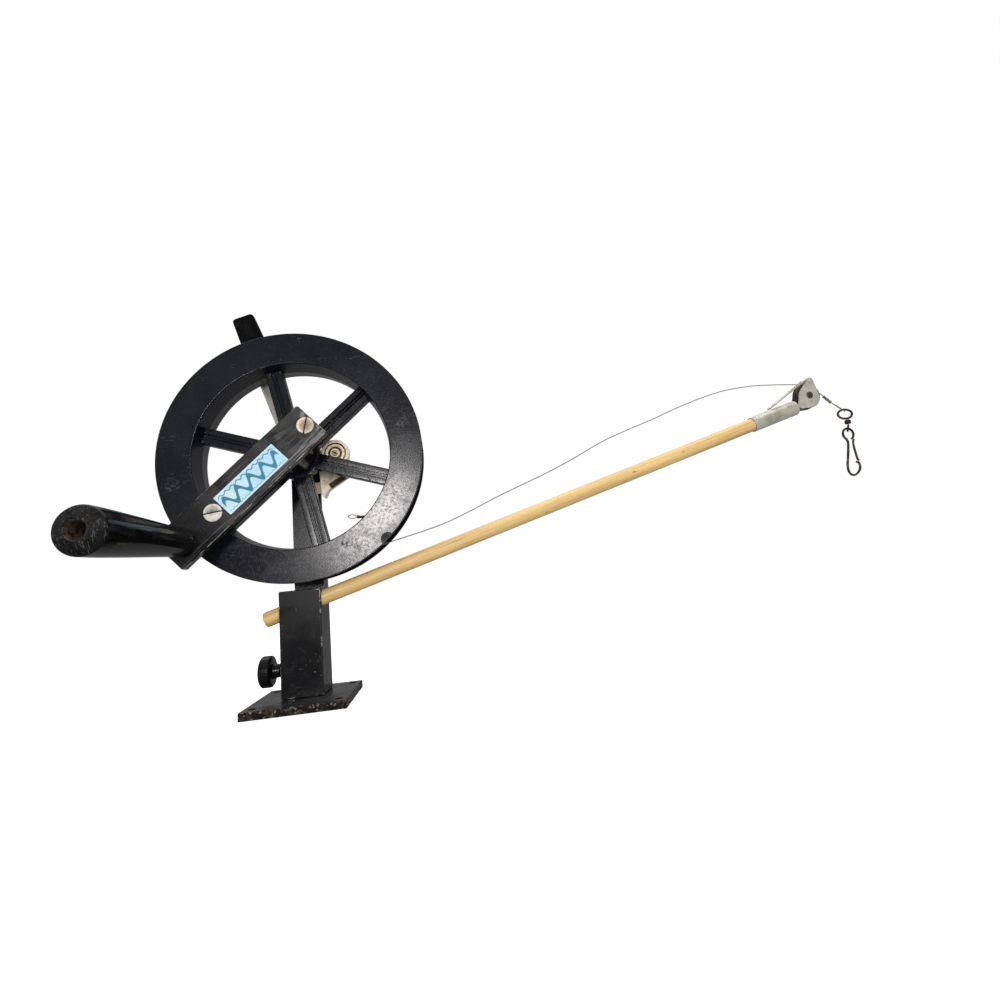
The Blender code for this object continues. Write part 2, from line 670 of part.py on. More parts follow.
def make_reel():
    front, rear = FLANGE_FRONT_Y, 0.0220
    mid_front, mid_rear = MID_Y - GAP / 2, MID_Y + GAP / 2
    soft = 0.0008
    front_rim = [
        (REEL_R, front + soft), (REEL_R, front + FLANGE_THICK - soft), (REEL_R - soft, front + FLANGE_THICK),
        (DRUM_OUTER_R, front + FLANGE_THICK), (DRUM_OUTER_R, mid_front), (DRUM_INNER_R, mid_front),
        (LIP_R, front + soft), (LIP_R + soft, front), (REEL_R - soft, front),
    ]
    rear_rim = [
        (REEL_R, rear - soft), (REEL_R - soft, rear), (LIP_R + soft, rear), (LIP_R + 0.0004, rear - soft),
        (DRUM_INNER_R, mid_rear), (DRUM_OUTER_R, mid_rear), (DRUM_OUTER_R, rear - FLANGE_THICK),
        (REEL_R - soft, rear - FLANGE_THICK), (REEL_R, rear - FLANGE_THICK + soft),
    ]
    arm_back = ARM_FRONT_Y + ARM_THICK
    front_half = make_reel_half("reel_front_half", -1, front_rim, (FRONT_BOSS_R, arm_back + GAP))
    rear_half = make_reel_half("reel_rear_half", 1, rear_rim, (REAR_BOSS_R, REAR_BOSS_Y))
    cut(
        front_half,
        along_y("nut_recess", REEL_AXIS, arm_back - 0.002, arm_back + NUT_RECESS_DEPTH, NUT_RECESS_R,
                None, CUTTERS, 24),
        along_y("rim_notch", polar(REEL_R, NOTCH_ANGLE), -0.03, FLANGE_FRONT_Y + NOTCH_DEPTH, NOTCH_R,
                None, CUTTERS, 20),
        cylinder("anchor_hole", ANCHOR_START, ANCHOR_END + (ANCHOR_END - ANCHOR_START) * 0.6,
                 ANCHOR_R + GAP, None, CUTTERS, 20),
    )
    winding = turned("line_winding", [
        (WINDING_R, front + FLANGE_THICK + GAP), (DRUM_OUTER_R + GAP, front + FLANGE_THICK + GAP),
        (DRUM_OUTER_R + GAP, rear - FLANGE_THICK - GAP), (WINDING_R, rear - FLANGE_THICK - GAP),
    ], REEL_AXIS, Y_AXIS, CABLE_WIRE, 56)
    pieces = [front_half, rear_half, winding]
    bush_front = (arm_back + NUT_RECESS_DEPTH + GAP, mid_front)
    bush_rear = (mid_rear, REAR_BOSS_Y - GAP)
    for name, (low, high) in (("hub_bush_front", bush_front), ("hub_bush_rear", bush_rear)):
        pieces.append(turned(name, [
            (BUSH_R, low), (AXLE_R + GAP, low), (AXLE_R + GAP, high), (BUSH_R, high),
        ], REEL_AXIS, Y_AXIS, BRONZE, 20))
    return pieces


def make_anchor():
    """The crimped loop that holds the inner end of the cable inside the wheel."""
    along = (ANCHOR_END - ANCHOR_START).normalized()
    sleeve = cylinder("anchor_sleeve", ANCHOR_START, ANCHOR_END, ANCHOR_R, RUSTY, sides=12)
    base = ANCHOR_START - along * 0.0005
    up = Vector((0.0, 0.0010, 0.0024))
    loop = [base + up * 0.3, base - along * 0.0035 + up, base - along * 0.0075 + up * 0.9,
            base - along * 0.0105, base - along * 0.0075 - up * 0.9, base - along * 0.0035 - up,
            base - up * 0.3]
    return [sleeve, wire("anchor_loop", smooth_path(loop, 0.0022), 0.00055, CABLE_WIRE)]


def make_axle():
    arm_back = ARM_FRONT_Y + ARM_THICK
    rear = POST_FRONT_Y + POST_BAR_THICK + GAP
    axle = along_y("axle_bolt", REEL_AXIS, arm_back + 0.0020, rear + 0.0080, AXLE_R, STEEL)
    head = along_y("axle_head", REEL_AXIS, rear, rear + 0.0080, 0.0110, None, CUTTERS, 6)
    join(axle, head)
    hexagon_nut("axle_nut", REEL_AXIS, arm_back + 0.0030, arm_back + NUT_RECESS_DEPTH - GAP, 0.0108,
                AXLE_R + GAP, STEEL)
    for name, low, high, radius, finish in (
        ("brake_disc", REAR_BOSS_Y + GAP, LEVER_Y[0] - GAP, 0.0195, FIBRE),
        ("axle_spacer", LEVER_Y[1] + GAP, POST_FRONT_Y - GAP, 0.0100, STEEL),
    ):
        turned(name, [
            (radius, low), (AXLE_R + GAP, low), (AXLE_R + GAP, high), (radius, high),
        ], REEL_AXIS, Y_AXIS, finish, 24)


# ---------------------------------------------------------------- crank

def arm_point(at, across=0.0, y=0.0):
    """A point at this distance along the crank arm, and across it."""
    angle = math.radians(ARM_ANGLE)
    along = Vector((math.cos(angle), 0.0, math.sin(angle)))
    side = Vector((-math.sin(angle), 0.0, math.cos(angle)))
    return REEL_AXIS + along * at + side * across + Vector((0.0, y, 0.0))


def make_crank():
    half, soft = ARM_WIDTH / 2, ARM_CORNER_R
    outline = []
    corners = [(ARM_LONG_END, half), (-ARM_SHORT_END, half), (-ARM_SHORT_END, -half), (ARM_LONG_END, -half)]
    for k, (at, across) in enumerate(corners):
        inside = (at - math.copysign(soft, at), across - math.copysign(soft, across))
        outline += arc(inside, soft, 90 * k, 90 * k + 90, 5)
    outline = [arm_point(at, across) for at, across in outline]
    back = ARM_FRONT_Y + ARM_THICK
    arm = plate("crank_arm", [(point.x, point.z) for point in outline], ARM_FRONT_Y, back, BLACK_PAINT)
    pieces = [arm]
    rear_face = 2 * MID_Y - SPOKE_FRONT_Y
    for which, at, finish in (("inner", INNER_SCREW_AT, BRASS), ("outer", OUTER_SCREW_AT, STEEL)):
        place = arm_point(at)
        cut(
            arm,
            along_y(f"{which}_shank_hole", place, ARM_FRONT_Y - 0.001, back + 0.001,
                    SCREW_SHANK_R + GAP, None, CUTTERS, 14),
            along_y(f"{which}_head_hole", place, ARM_FRONT_Y - 0.001, ARM_FRONT_Y + 0.0042,
                    SCREW_HEAD_R + GAP, None, CUTTERS, 24),
        )
        head_low = ARM_FRONT_Y - 0.0006
        screw = turned(f"arm_screw_{which}", [
            (SCREW_HEAD_R - 0.0006, head_low), (SCREW_HEAD_R, head_low + 0.0006),
            (SCREW_HEAD_R, ARM_FRONT_Y + 0.0039), (SCREW_SHANK_R, ARM_FRONT_Y + 0.0039),
            (SCREW_SHANK_R, rear_face + 0.0085), (0.0, rear_face + 0.0085), (0.0, head_low),
        ][::-1], place, Y_AXIS, finish, 20)
        tilt = 78 if which == "inner" else 8
        slot = box(f"{which}_slot", (-0.0120, head_low - 0.001, -0.0009), (0.0120, head_low + 0.0012, 0.0009),
                   None, CUTTERS)
        slot.matrix_world = Matrix.Translation((place.x, 0, place.z)) @ Matrix.Rotation(
            -math.radians(tilt), 4, "Y")
        cut(screw, slot)
        spacer = turned(f"arm_spacer_{which}", [
            (0.0090, back + GAP), (SCREW_SHANK_R + GAP, back + GAP),
            (SCREW_SHANK_R + GAP, SPOKE_FRONT_Y - GAP), (0.0090, SPOKE_FRONT_Y - GAP),
        ], place, Y_AXIS, STEEL, 16)
        nut = hexagon_nut(f"arm_nut_{which}", place, rear_face + GAP, rear_face + 0.0065, 0.0075,
                          SCREW_SHANK_R + GAP, STEEL)
        pieces += [screw, spacer, nut]
    label = [(0.0077, -0.0116), (0.0980, -0.0116), (0.0980, 0.0168), (0.0077, 0.0168)]
    label = [arm_point(at, across) for at, across in label]
    pieces.append(plate(
        "label_plate", [(point.x, point.z) for point in label],
        ARM_FRONT_Y - GAP - 0.0005, ARM_FRONT_Y - GAP, LABEL))
    return pieces


def make_handle():
    """The free-turning grip, on a long bolt through the arm."""
    back = ARM_FRONT_Y + ARM_THICK
    place = arm_point(GRIP_AT)
    arm = bpy.data.objects["crank_arm"]
    cut(arm, along_y(
        "spindle_hole", place, ARM_FRONT_Y - 0.001, back + 0.001, SPINDLE_R + GAP, None, CUTTERS, 16))
    floor = GRIP_END_Y + GRIP_BORE_DEPTH
    washer = turned("handle_washer", [
        (0.0125, ARM_FRONT_Y - GAP - 0.0015), (SPINDLE_R + GAP, ARM_FRONT_Y - GAP - 0.0015),
        (SPINDLE_R + GAP, ARM_FRONT_Y - GAP), (0.0125, ARM_FRONT_Y - GAP),
    ], place, Y_AXIS, STEEL, 18)
    top = ARM_FRONT_Y - 2 * GAP - 0.0015
    grip = turned("handle_grip", [
        (GRIP_BORE_R + 0.0016, GRIP_END_Y), (GRIP_LARGE_R - 0.0008, GRIP_END_Y + 0.0062),
        (GRIP_LARGE_R, GRIP_END_Y + 0.0080), (GRIP_LARGE_R - 0.0003, GRIP_END_Y + 0.0360),
        (GRIP_SMALL_R + 0.0004, top - 0.0080), (GRIP_SMALL_R, top - 0.0030),
        (GRIP_SMALL_R - 0.0015, top), (SPINDLE_R + GAP, top), (SPINDLE_R + GAP, floor),
        (GRIP_BORE_R, floor), (GRIP_BORE_R, GRIP_END_Y + 0.0008), (GRIP_BORE_R + 0.0008, GRIP_END_Y),
    ], place, Y_AXIS, GLOSS_BLACK, 28)
    spindle = turned("handle_spindle", [
        (0.0, floor - 0.0075), (0.0076, floor - 0.0075), (0.0081, floor - 0.0068), (0.0081, floor - GAP),
        (SPINDLE_R, floor - GAP), (SPINDLE_R, back + 0.0090), (0.0, back + 0.0090),
    ], place, Y_AXIS, RUSTY, 16)
    nut = hexagon_nut("handle_nut", place, back + GAP, back + 0.0070, 0.0088, SPINDLE_R + GAP, STEEL)
    mount_on(pivot("handle_axis", place), grip)
    return [washer, spindle, nut]


# ---------------------------------------------------------------- post, brake lever and counter

def make_post():
    half = POST_WIDTH / 2
    front = POST_FRONT_Y
    back = front + POST_BAR_THICK
    bar = plate("post_bar", [
        (-half, POST_BOTTOM), (half, POST_BOTTOM), (half, POST_TOP - 0.006), (half - 0.006, POST_TOP),
        (-half + 0.006, POST_TOP), (-half, POST_TOP - 0.006),
    ], front, back, BLACK_PAINT)
    cut(bar, along_y(
        "post_axle_hole", REEL_AXIS, front - 0.001, back + 0.001, AXLE_R + GAP, None, CUTTERS, 20))
    channel_back = front + POST_DEPTH
    channel = box(
        "post_channel", (-half, back + GAP, POST_BOTTOM), (half, channel_back, POST_CHANNEL_TOP), BLACK_PAINT)
    cut(channel, box(
        "channel_core", (-half + 0.003, back - 0.01, POST_BOTTOM - 0.01),
        (half - 0.003, channel_back - 0.003, POST_CHANNEL_TOP + 0.01), None, CUTTERS))
    wall_inside = COLUMN_Y + COLUMN_SIDE / 2 - COLUMN_WALL
    for k, z in enumerate(POST_BOLT_Z):
        place = Vector((0.0, 0.0, z))
        for item in (bar, channel):
            cut(item, along_y(
                f"{item.name}_bolt_hole_{k}", place, front - 0.001, channel_back + 0.001,
                POST_BOLT_R + GAP, None, CUTTERS, 14))
        bolt = along_y(f"post_bolt_{k + 1}", place, wall_inside - 0.0085, channel_back + 0.0060, POST_BOLT_R,
                       STEEL, sides=14)
        join(bolt, along_y(
            f"post_bolt_head_{k + 1}", place, channel_back + GAP, channel_back + 0.0060, 0.0078,
            None, CUTTERS, 6))
        hexagon_nut(f"post_nut_{k + 1}", place, wall_inside - 0.0070, wall_inside - GAP, 0.0078,
                    POST_BOLT_R + GAP, STEEL)


def make_lever():
    """The brake lever on the axle, with its vinyl-dipped end."""
    angle = math.radians(LEVER_ANGLE)
    along = Vector((math.cos(angle), 0.0, math.sin(angle)))
    across = Vector((-math.sin(angle), 0.0, math.cos(angle)))

    def spot(at, side):
        point = REEL_AXIS + along * at + across * side
        return (point.x, point.z)

    half = LEVER_WIDTH / 2
    foot = [spot(*point) for point in arc((0.0, 0.0), 0.0175, 121, 239, 9)]
    end = LEVER_END - 0.002
    strip = foot + [spot(0.020, -half), spot(end - 0.003, -half + 0.0020), spot(end, -half + 0.0050),
                    spot(end, half - 0.0050), spot(end - 0.003, half - 0.0020), spot(0.020, half)]
    low, high = LEVER_Y
    lever = plate("brake_lever", strip, low, high, ALUMINIUM)
    cut(lever, along_y("lever_hole", REEL_AXIS, low - 0.001, high + 0.001, AXLE_R + GAP, None, CUTTERS, 20))
    wide, narrow = 0.0172, 0.0148
    tip = LEVER_END + 0.0015
    cap_outline = [spot(CAP_START, wide), spot(CAP_START, -wide)]
    for side, start in ((-1, -90), (1, 0)):
        corner = (tip - CAP_CORNER_R, side * (narrow - CAP_CORNER_R))
        cap_outline += [spot(*point) for point in arc(corner, CAP_CORNER_R, start, start + 90, 5)]
    cap = plate("lever_cap", cap_outline, low - 0.0022, high + 0.0022, VINYL)
    pocket = [
        spot(CAP_START - 0.01, -half - GAP), spot(end - 0.003, -half + 0.0020 - GAP),
        spot(end + GAP, -half + 0.0050), spot(end + GAP, half - 0.0050),
        spot(end - 0.003, half - 0.0020 + GAP), spot(CAP_START - 0.01, half + GAP),
    ]
    cut(cap, plate("cap_pocket", pocket, low - GAP, high + GAP, None, CUTTERS))
    mount_on(pivot("lever_axis", REEL_AXIS), lever, cap)


def make_counter():
    """The line counter: a wheel that rolls on the reel's rear boss, and a case of digit wheels."""
    outline = [
        (0.0205, 0.3180), (0.0235, 0.2625), (0.0272, 0.2580), (0.0330, 0.2690), (0.0605, 0.2862),
        (0.0612, 0.3050), (0.0600, 0.3240), (0.0520, 0.3315), (0.0380, 0.3315), (0.0290, 0.3270),
    ]
    inner = [
        (0.0205 + CASE_WALL, 0.3175), (0.0254, 0.2640), (0.0272, 0.2612), (0.0318, 0.2701), (0.0586, 0.2872),
        (0.0594, 0.3050), (0.0583, 0.3230), (0.0513, 0.3297), (0.0385, 0.3297), (0.0302, 0.3257),
    ]
    case = plate("counter_case", outline, CASE_Y[0], CASE_Y[1], CREAM)
    cut(
        case,
        plate("case_core", inner, CASE_Y[0] + CASE_WALL, CASE_Y[1] + 0.002, None, CUTTERS),
        along_y("case_shaft_hole", COUNTER_AXIS, CASE_Y[0] - 0.001, CASE_Y[0] + CASE_WALL + 0.001,
                0.0028 + GAP, None, CUTTERS, 20),
    )
    slot_low, slot_high = Vector((0.0355, 0.0, 0.2706)), Vector((0.0580, 0.0, 0.2847))
    lean = math.atan2(slot_high.z - slot_low.z, slot_high.x - slot_low.x)
    slot_frame = Matrix.Translation((slot_low + slot_high) / 2 + Vector((0, (CASE_Y[0] + CASE_Y[1]) / 2, 0)))
    window_hole = box(
        "window_hole", (-0.0105, -0.0036, -0.0045), (0.0105, 0.0036, 0.0045), None, CUTTERS)
    window_hole.matrix_world = slot_frame @ Matrix.Rotation(-lean, 4, "Y")
    cut(case, window_hole)
    ear = [(0.0222, 0.2820), (0.0030, 0.2820), (0.0030, 0.2660), (0.0232, 0.2660)]
    back = plate(
        "counter_back", outline[:1] + ear + outline[1:], CASE_Y[1] + GAP, POST_FRONT_Y - GAP, CREAM)
    place = Vector((0.0105, 0.0, 0.2740))
    for item, low, high in (
        (back, CASE_Y[1] - 0.001, POST_FRONT_Y + 0.001),
        (bpy.data.objects["post_bar"], POST_FRONT_Y - 0.001, POST_FRONT_Y + POST_BAR_THICK + 0.001),
    ):
        cut(item, along_y(f"{item.name}_screw_hole", place, low, high, 0.0020 + GAP, None, CUTTERS, 16))
    head = CASE_Y[1] - 0.0016
    turned("counter_screw", [
        (0.0, head), (0.0034, head), (0.0038, CASE_Y[1]), (0.0020, CASE_Y[1]),
        (0.0020, POST_FRONT_Y + 0.0055), (0.0, POST_FRONT_Y + 0.0055),
    ], place, Y_AXIS, STEEL, 18)
    low, high = COUNTER_WHEEL_Y
    rim = COUNTER_WHEEL_R
    wheel = turned("counter_wheel", [
        (rim, low + 0.0006), (rim - 0.0006, low), (rim - 0.0040, low), (rim - 0.0046, low + 0.0016),
        (0.0100, low + 0.0010), (0.0080, low + 0.0030), (0.0062, low + 0.0002), (0.0028 + GAP, low + 0.0002),
        (0.0028 + GAP, high), (rim - 0.0006, high), (rim, high - 0.0006),
    ], COUNTER_AXIS, Y_AXIS, CREAM, 24)
    shaft = turned("counter_shaft", [
        (0.0, low - 0.0010), (0.0042, low - 0.0010), (0.0042, low - GAP), (0.0028, low - GAP),
        (0.0028, CASE_Y[1] - GAP), (0.0, CASE_Y[1] - GAP),
    ], COUNTER_AXIS, Y_AXIS, STEEL, 14)
    wheels = []
    start = CASE_Y[0] + CASE_WALL + GAP
    thick = (CASE_Y[1] - GAP - start) / 3
    for k, name in enumerate(("digit_wheel_units", "digit_wheel_tens", "digit_wheel_hundreds")):
        base = start + k * thick
        wheels.append(turned(name, [
            (DIGIT_WHEEL_R, base), (0.0028 + GAP, base), (0.0028 + GAP, base + thick - GAP),
            (DIGIT_WHEEL_R, base + thick - GAP),
        ], COUNTER_AXIS, Y_AXIS, BLACK_PLASTIC, 18))
    mount_on(pivot("counter_axis", COUNTER_AXIS), wheel, shaft, *wheels)


# ---------------------------------------------------------------- assembly

def make_downrigger():
    make_base()
    make_column()
    make_lock()
    make_boom()
    make_tip()
    make_cable()
    make_tackle()
    reel_pieces = make_reel() + make_anchor() + make_crank() + make_handle()
    reel_pivot = pivot("reel_axis", REEL_AXIS)
    mount_on(reel_pivot, *reel_pieces)
    make_axle()
    make_post()
    make_lever()
    make_counter()


make_downrigger()
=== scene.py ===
"""Looks of the hand-cranked fishing downrigger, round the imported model. Metres, in the part's own frame."""
import json
import math

import bmesh
import bpy
from mathutils import Euler, Matrix, Vector
from mathutils.geometry import convex_hull_2d

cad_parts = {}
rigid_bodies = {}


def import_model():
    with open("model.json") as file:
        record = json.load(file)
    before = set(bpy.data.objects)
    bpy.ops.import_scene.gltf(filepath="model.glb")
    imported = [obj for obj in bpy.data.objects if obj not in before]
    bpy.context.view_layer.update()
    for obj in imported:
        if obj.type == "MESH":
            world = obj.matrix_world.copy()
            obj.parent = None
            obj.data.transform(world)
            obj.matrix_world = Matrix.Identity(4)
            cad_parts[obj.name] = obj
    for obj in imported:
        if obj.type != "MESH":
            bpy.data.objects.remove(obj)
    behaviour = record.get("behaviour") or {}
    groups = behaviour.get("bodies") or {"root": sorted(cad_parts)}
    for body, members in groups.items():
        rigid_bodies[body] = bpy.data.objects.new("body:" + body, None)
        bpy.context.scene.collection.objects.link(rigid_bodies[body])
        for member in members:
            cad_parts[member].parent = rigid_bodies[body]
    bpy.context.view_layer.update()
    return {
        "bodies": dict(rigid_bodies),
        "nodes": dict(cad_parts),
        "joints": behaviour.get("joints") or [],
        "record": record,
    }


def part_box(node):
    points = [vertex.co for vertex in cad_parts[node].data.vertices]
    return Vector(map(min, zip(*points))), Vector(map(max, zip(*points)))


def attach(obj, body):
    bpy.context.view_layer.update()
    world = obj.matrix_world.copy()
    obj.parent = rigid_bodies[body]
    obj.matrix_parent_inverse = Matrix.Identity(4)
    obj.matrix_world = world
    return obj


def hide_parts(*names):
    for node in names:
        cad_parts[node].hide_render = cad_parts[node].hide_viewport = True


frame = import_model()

SCENE = bpy.context.scene
Y_AXIS = Vector((0.0, 1.0, 0.0))

# The part's own sizes, as its source has them
GAP = 0.0003
MID_Y = -0.00265
REEL_AXIS = Vector((0.0, 0.0, 0.31085))
REEL_R = 0.1645
DRUM_OUTER_R = 0.1240
DRUM_INNER_R = 0.1199
LIP_R = 0.1225
FLANGE_THICK = 0.0053
SPOKE_ANGLES = [42.6 + 60 * k for k in range(6)]
SPOKE_FRONT_Y = -0.0102
SPOKE_WIDTH = 0.0215
ARM_ANGLE = math.radians(222.8)
ARM_FRONT_Y = -0.0673
ARM_BACK_Y = -0.0578
ARM_SCREWS = (-0.0355, 0.110)
HANDLE_AT = 0.157
SCREW_HOLE_R = 0.0043
LOCK_AXIS = Vector((0.0, 0.010, 0.041))
BOOM_SLOPE = math.radians(16.73)
BOOM_START = Vector((-0.0455, MID_Y, 0.10455))
BOOM_LENGTH = 0.7325
BOOM_R = 0.009525
FERRULE_START = 0.7270
FERRULE_LENGTH = 0.0775
FERRULE_R = 0.0111
TIP_AXIS = Vector((0.7475, MID_Y, 0.3527))
TIP_RIVET = Vector((0.7528, MID_Y, 0.3752))
COUNTER_AXIS = Vector((0.045, 0.0, 0.3175))
LEVER_ANGLE = math.radians(109.4)

CABLE_ROUTE = [
    (0.0360, 0.1690), (0.0780, 0.1796), (0.1199, 0.1901), (0.1798, 0.2051), (0.2220, 0.2207),
    (0.2643, 0.2388), (0.3299, 0.2640), (0.3740, 0.2832), (0.4149, 0.3030), (0.4540, 0.3177),
    (0.4940, 0.3312), (0.5350, 0.3463), (0.5764, 0.3598), (0.6170, 0.3697), (0.6592, 0.3742),
    (0.6960, 0.3743), (0.7260, 0.3730), (0.7400, 0.3720), (0.7476, 0.3713), (0.7521, 0.3708),
    (0.7563, 0.3692), (0.7600, 0.3666), (0.7675, 0.3596), (0.7755, 0.3522),
]


# --- camera

CAMERA_PLACE = (0.1812, -0.7083, 0.1379)
CAMERA_TURN = (99.5071, 5.5777, -6.6429)
CAMERA_LENS = 18.826
CAMERA_SHIFT = (-0.00653, -0.01804)

camera = bpy.data.objects.new("camera", bpy.data.cameras.new("camera"))
camera.location = CAMERA_PLACE
camera.rotation_euler = Euler([math.radians(angle) for angle in CAMERA_TURN])
camera.data.sensor_width = 36.0
camera.data.lens = CAMERA_LENS
camera.data.shift_x, camera.data.shift_y = CAMERA_SHIFT
camera.data.clip_start = 0.01
SCENE.collection.objects.link(camera)
SCENE.camera = camera


# --- materials

def feed(tree, socket, value):
    """Gives a socket a value, or a link where the value comes from another socket."""
    if isinstance(value, bpy.types.NodeSocket):
        tree.links.new(value, socket)
    else:
        socket.default_value = value


class Look:
    """A Principled material that is painted up in layers of procedural masks."""

    def __init__(self, name, color, roughness, metallic=0.0, turn=0.0, **uniform):
        self.made = bpy.data.materials.new(name)
        self.made.use_nodes = True
        self.tree = self.made.node_tree
        self.shader = self.tree.nodes["Principled BSDF"]
        self.set("Base Color", (*color, 1.0))
        self.set("Roughness", roughness)
        self.set("Metallic", metallic)
        for key, value in uniform.items():
            self.set(key.replace("_", " ").title().replace("Ior", "IOR"), value)
        self.now = {"Base Color": (*color, 1.0), "Roughness": roughness, "Metallic": metallic}
        place = self.node("ShaderNodeTexCoord").outputs["Object"]
        if turn:
            rotate = self.node("ShaderNodeMapping", Vector=place)
            rotate.inputs["Rotation"].default_value = (0.0, turn, 0.0)
            place = rotate.outputs[0]
        self.place = place
        self.normal = None

    def set(self, socket, value):
        self.shader.inputs[socket].default_value = value

    def node(self, kind, **values):
        made = self.tree.nodes.new(kind)
        for name, value in values.items():
            self.feed(made.inputs[name], value)
        return made

    def feed(self, socket, value):
        feed(self.tree, socket, value)

    def at(self, stretch=(1.0, 1.0, 1.0), shift=0.0):
        moved = self.node("ShaderNodeMapping", Vector=self.place)
        moved.inputs["Scale"].default_value = stretch
        moved.inputs["Location"].default_value = (shift, shift * 0.7, shift * 1.3)
        return moved.outputs[0]

    def noise(self, scale, detail=4.0, stretch=(1.0, 1.0, 1.0), shift=0.0, wobble=0.0):
        made = self.node("ShaderNodeTexNoise", Vector=self.at(stretch, shift), Scale=scale, Detail=detail)
        made.inputs["Distortion"].default_value = wobble
        return made.outputs["Fac"]

    def cells(self, scale, stretch=(1.0, 1.0, 1.0), shift=0.0):
        made = self.node("ShaderNodeTexVoronoi", Vector=self.at(stretch, shift), Scale=scale)
        return made.outputs["Distance"]

    def span(self, value, low, high):
        """0 below low and 1 above high, with a smooth step between."""
        made = self.node("ShaderNodeMapRange", Value=value)
        made.interpolation_type = "SMOOTHSTEP"
        made.inputs["From Min"].default_value = low
        made.inputs["From Max"].default_value = high
        return made.outputs["Result"]

    def math(self, operation, a, b=0.0, c=None):
        made = self.tree.nodes.new("ShaderNodeMath")
        made.operation = operation
        self.feed(made.inputs[0], a)
        self.feed(made.inputs[1], b)
        if c is not None:
            self.feed(made.inputs[2], c)
        return made.outputs[0]

    def axis(self, which):
        return self.node("ShaderNodeSeparateXYZ", Vector=self.place).outputs[which]

    def arm_axes(self):
        """Distances from the reel's axis, along and across the crank arm."""
        centre = Matrix.Rotation(ARM_ANGLE, 3, "Y") @ REEL_AXIS
        return [self.math("SUBTRACT", self.axis(which), centre[which]) for which in (0, 2)]

    def blend(self, mask, a, b):
        kind = "RGBA" if isinstance(b, tuple) else "FLOAT"
        made = self.tree.nodes.new("ShaderNodeMix")
        made.data_type = kind
        slots = {"RGBA": (6, 7, 2), "FLOAT": (2, 3, 0)}[kind]
        self.feed(made.inputs[0], mask)
        self.feed(made.inputs[slots[0]], a)
        self.feed(made.inputs[slots[1]], b)
        return made.outputs[slots[2]]

    def layer(self, mask, color=None, roughness=None, metallic=None, amount=1.0):
        if amount != 1.0:
            mask = self.math("MULTIPLY", mask, amount)
        changes = {
            "Base Color": None if color is None else (*color, 1.0),
            "Roughness": roughness, "Metallic": metallic,
        }
        for name, value in changes.items():
            if value is None:
                continue
            self.now[name] = self.blend(mask, self.now[name], value)
            self.feed(self.shader.inputs[name], self.now[name])
        return self

    def bump(self, height, distance, strength=1.0):
        made = self.node("ShaderNodeBump", Height=height, Distance=distance, Strength=strength)
        if self.normal is not None:
            self.tree.links.new(self.normal, made.inputs["Normal"])
        self.normal = made.outputs[0]
        self.feed(self.shader.inputs["Normal"], self.normal)
        return self

    def scratches(self, scale, stretch, low, sparse=0.56, shift=0.0):
        """Thin broken lines, long where the stretch is small."""
        lines = self.patch(scale, 2.0, low, low + 0.03, stretch=stretch, shift=shift)
        return self.both(lines, self.patch(38.0, 2.0, sparse, sparse + 0.08, shift=shift + 3.1))

    def patch(self, scale, detail, low, high, **noise):
        return self.span(self.noise(scale, detail, **noise), low, high)

    def both(self, a, b):
        return self.math("MULTIPLY", a, b)

    def spots(self, scale, detail, low, high, color=None, roughness=None, metallic=None, amount=1.0, **noise):
        """Changes the look where a noise passes from the low level to the high one."""
        return self.layer(self.patch(scale, detail, low, high, **noise), color, roughness, metallic, amount)

    def scratched(self, scale, stretch, low, color, roughness, metallic=None, amount=1.0, **lines):
        return self.layer(self.scratches(scale, stretch, low, **lines), color, roughness, metallic, amount)

    def grain(self, scale, detail, distance, strength, **noise):
        return self.bump(self.noise(scale, detail, **noise), distance, strength)


def dark_plastic():
    """The reel's moulded black plastic: faint mottling, wear lines and dusty specks."""
    look = Look("reel_plastic", (0.0036, 0.0042, 0.0070), 0.18, specular_ior_level=0.45)
    look.spots(14.0, 5.0, 0.40, 0.66, (0.0058, 0.0066, 0.0102), 0.22)
    look.spots(300.0, 5.0, 0.44, 0.66, roughness=0.34, amount=0.5, shift=7.0)
    look.spots(45.0, 5.0, 0.50, 0.68, roughness=0.40, amount=0.28, shift=9.0, wobble=0.8)
    look.spots(900.0, 3.0, 0.66, 0.76, (0.030, 0.028, 0.029), 0.55, amount=0.4)
    look.scratched(60.0, (1.0, 1.0, 14.0), 0.66, (0.070, 0.070, 0.076), 0.55, amount=0.55)
    look.scratched(70.0, (16.0, 1.0, 1.0), 0.67, (0.065, 0.065, 0.072), 0.5, amount=0.5, shift=5.0)
    look.layer(look.span(look.cells(230.0, shift=2.0), 0.10, 0.04), (0.090, 0.085, 0.085), 0.65, amount=0.35)
    scuffs = look.both(look.patch(24.0, 2.0, 0.64, 0.72, shift=11.0),
                       look.patch(330.0, 5.0, 0.44, 0.60, shift=1.0))
    look.layer(scuffs, (0.040, 0.039, 0.040), 0.6, amount=0.7)
    look.grain(420.0, 3.0, 0.00003, 0.25)
    look.grain(26.0, 3.0, 0.0004, 0.25)
    return look


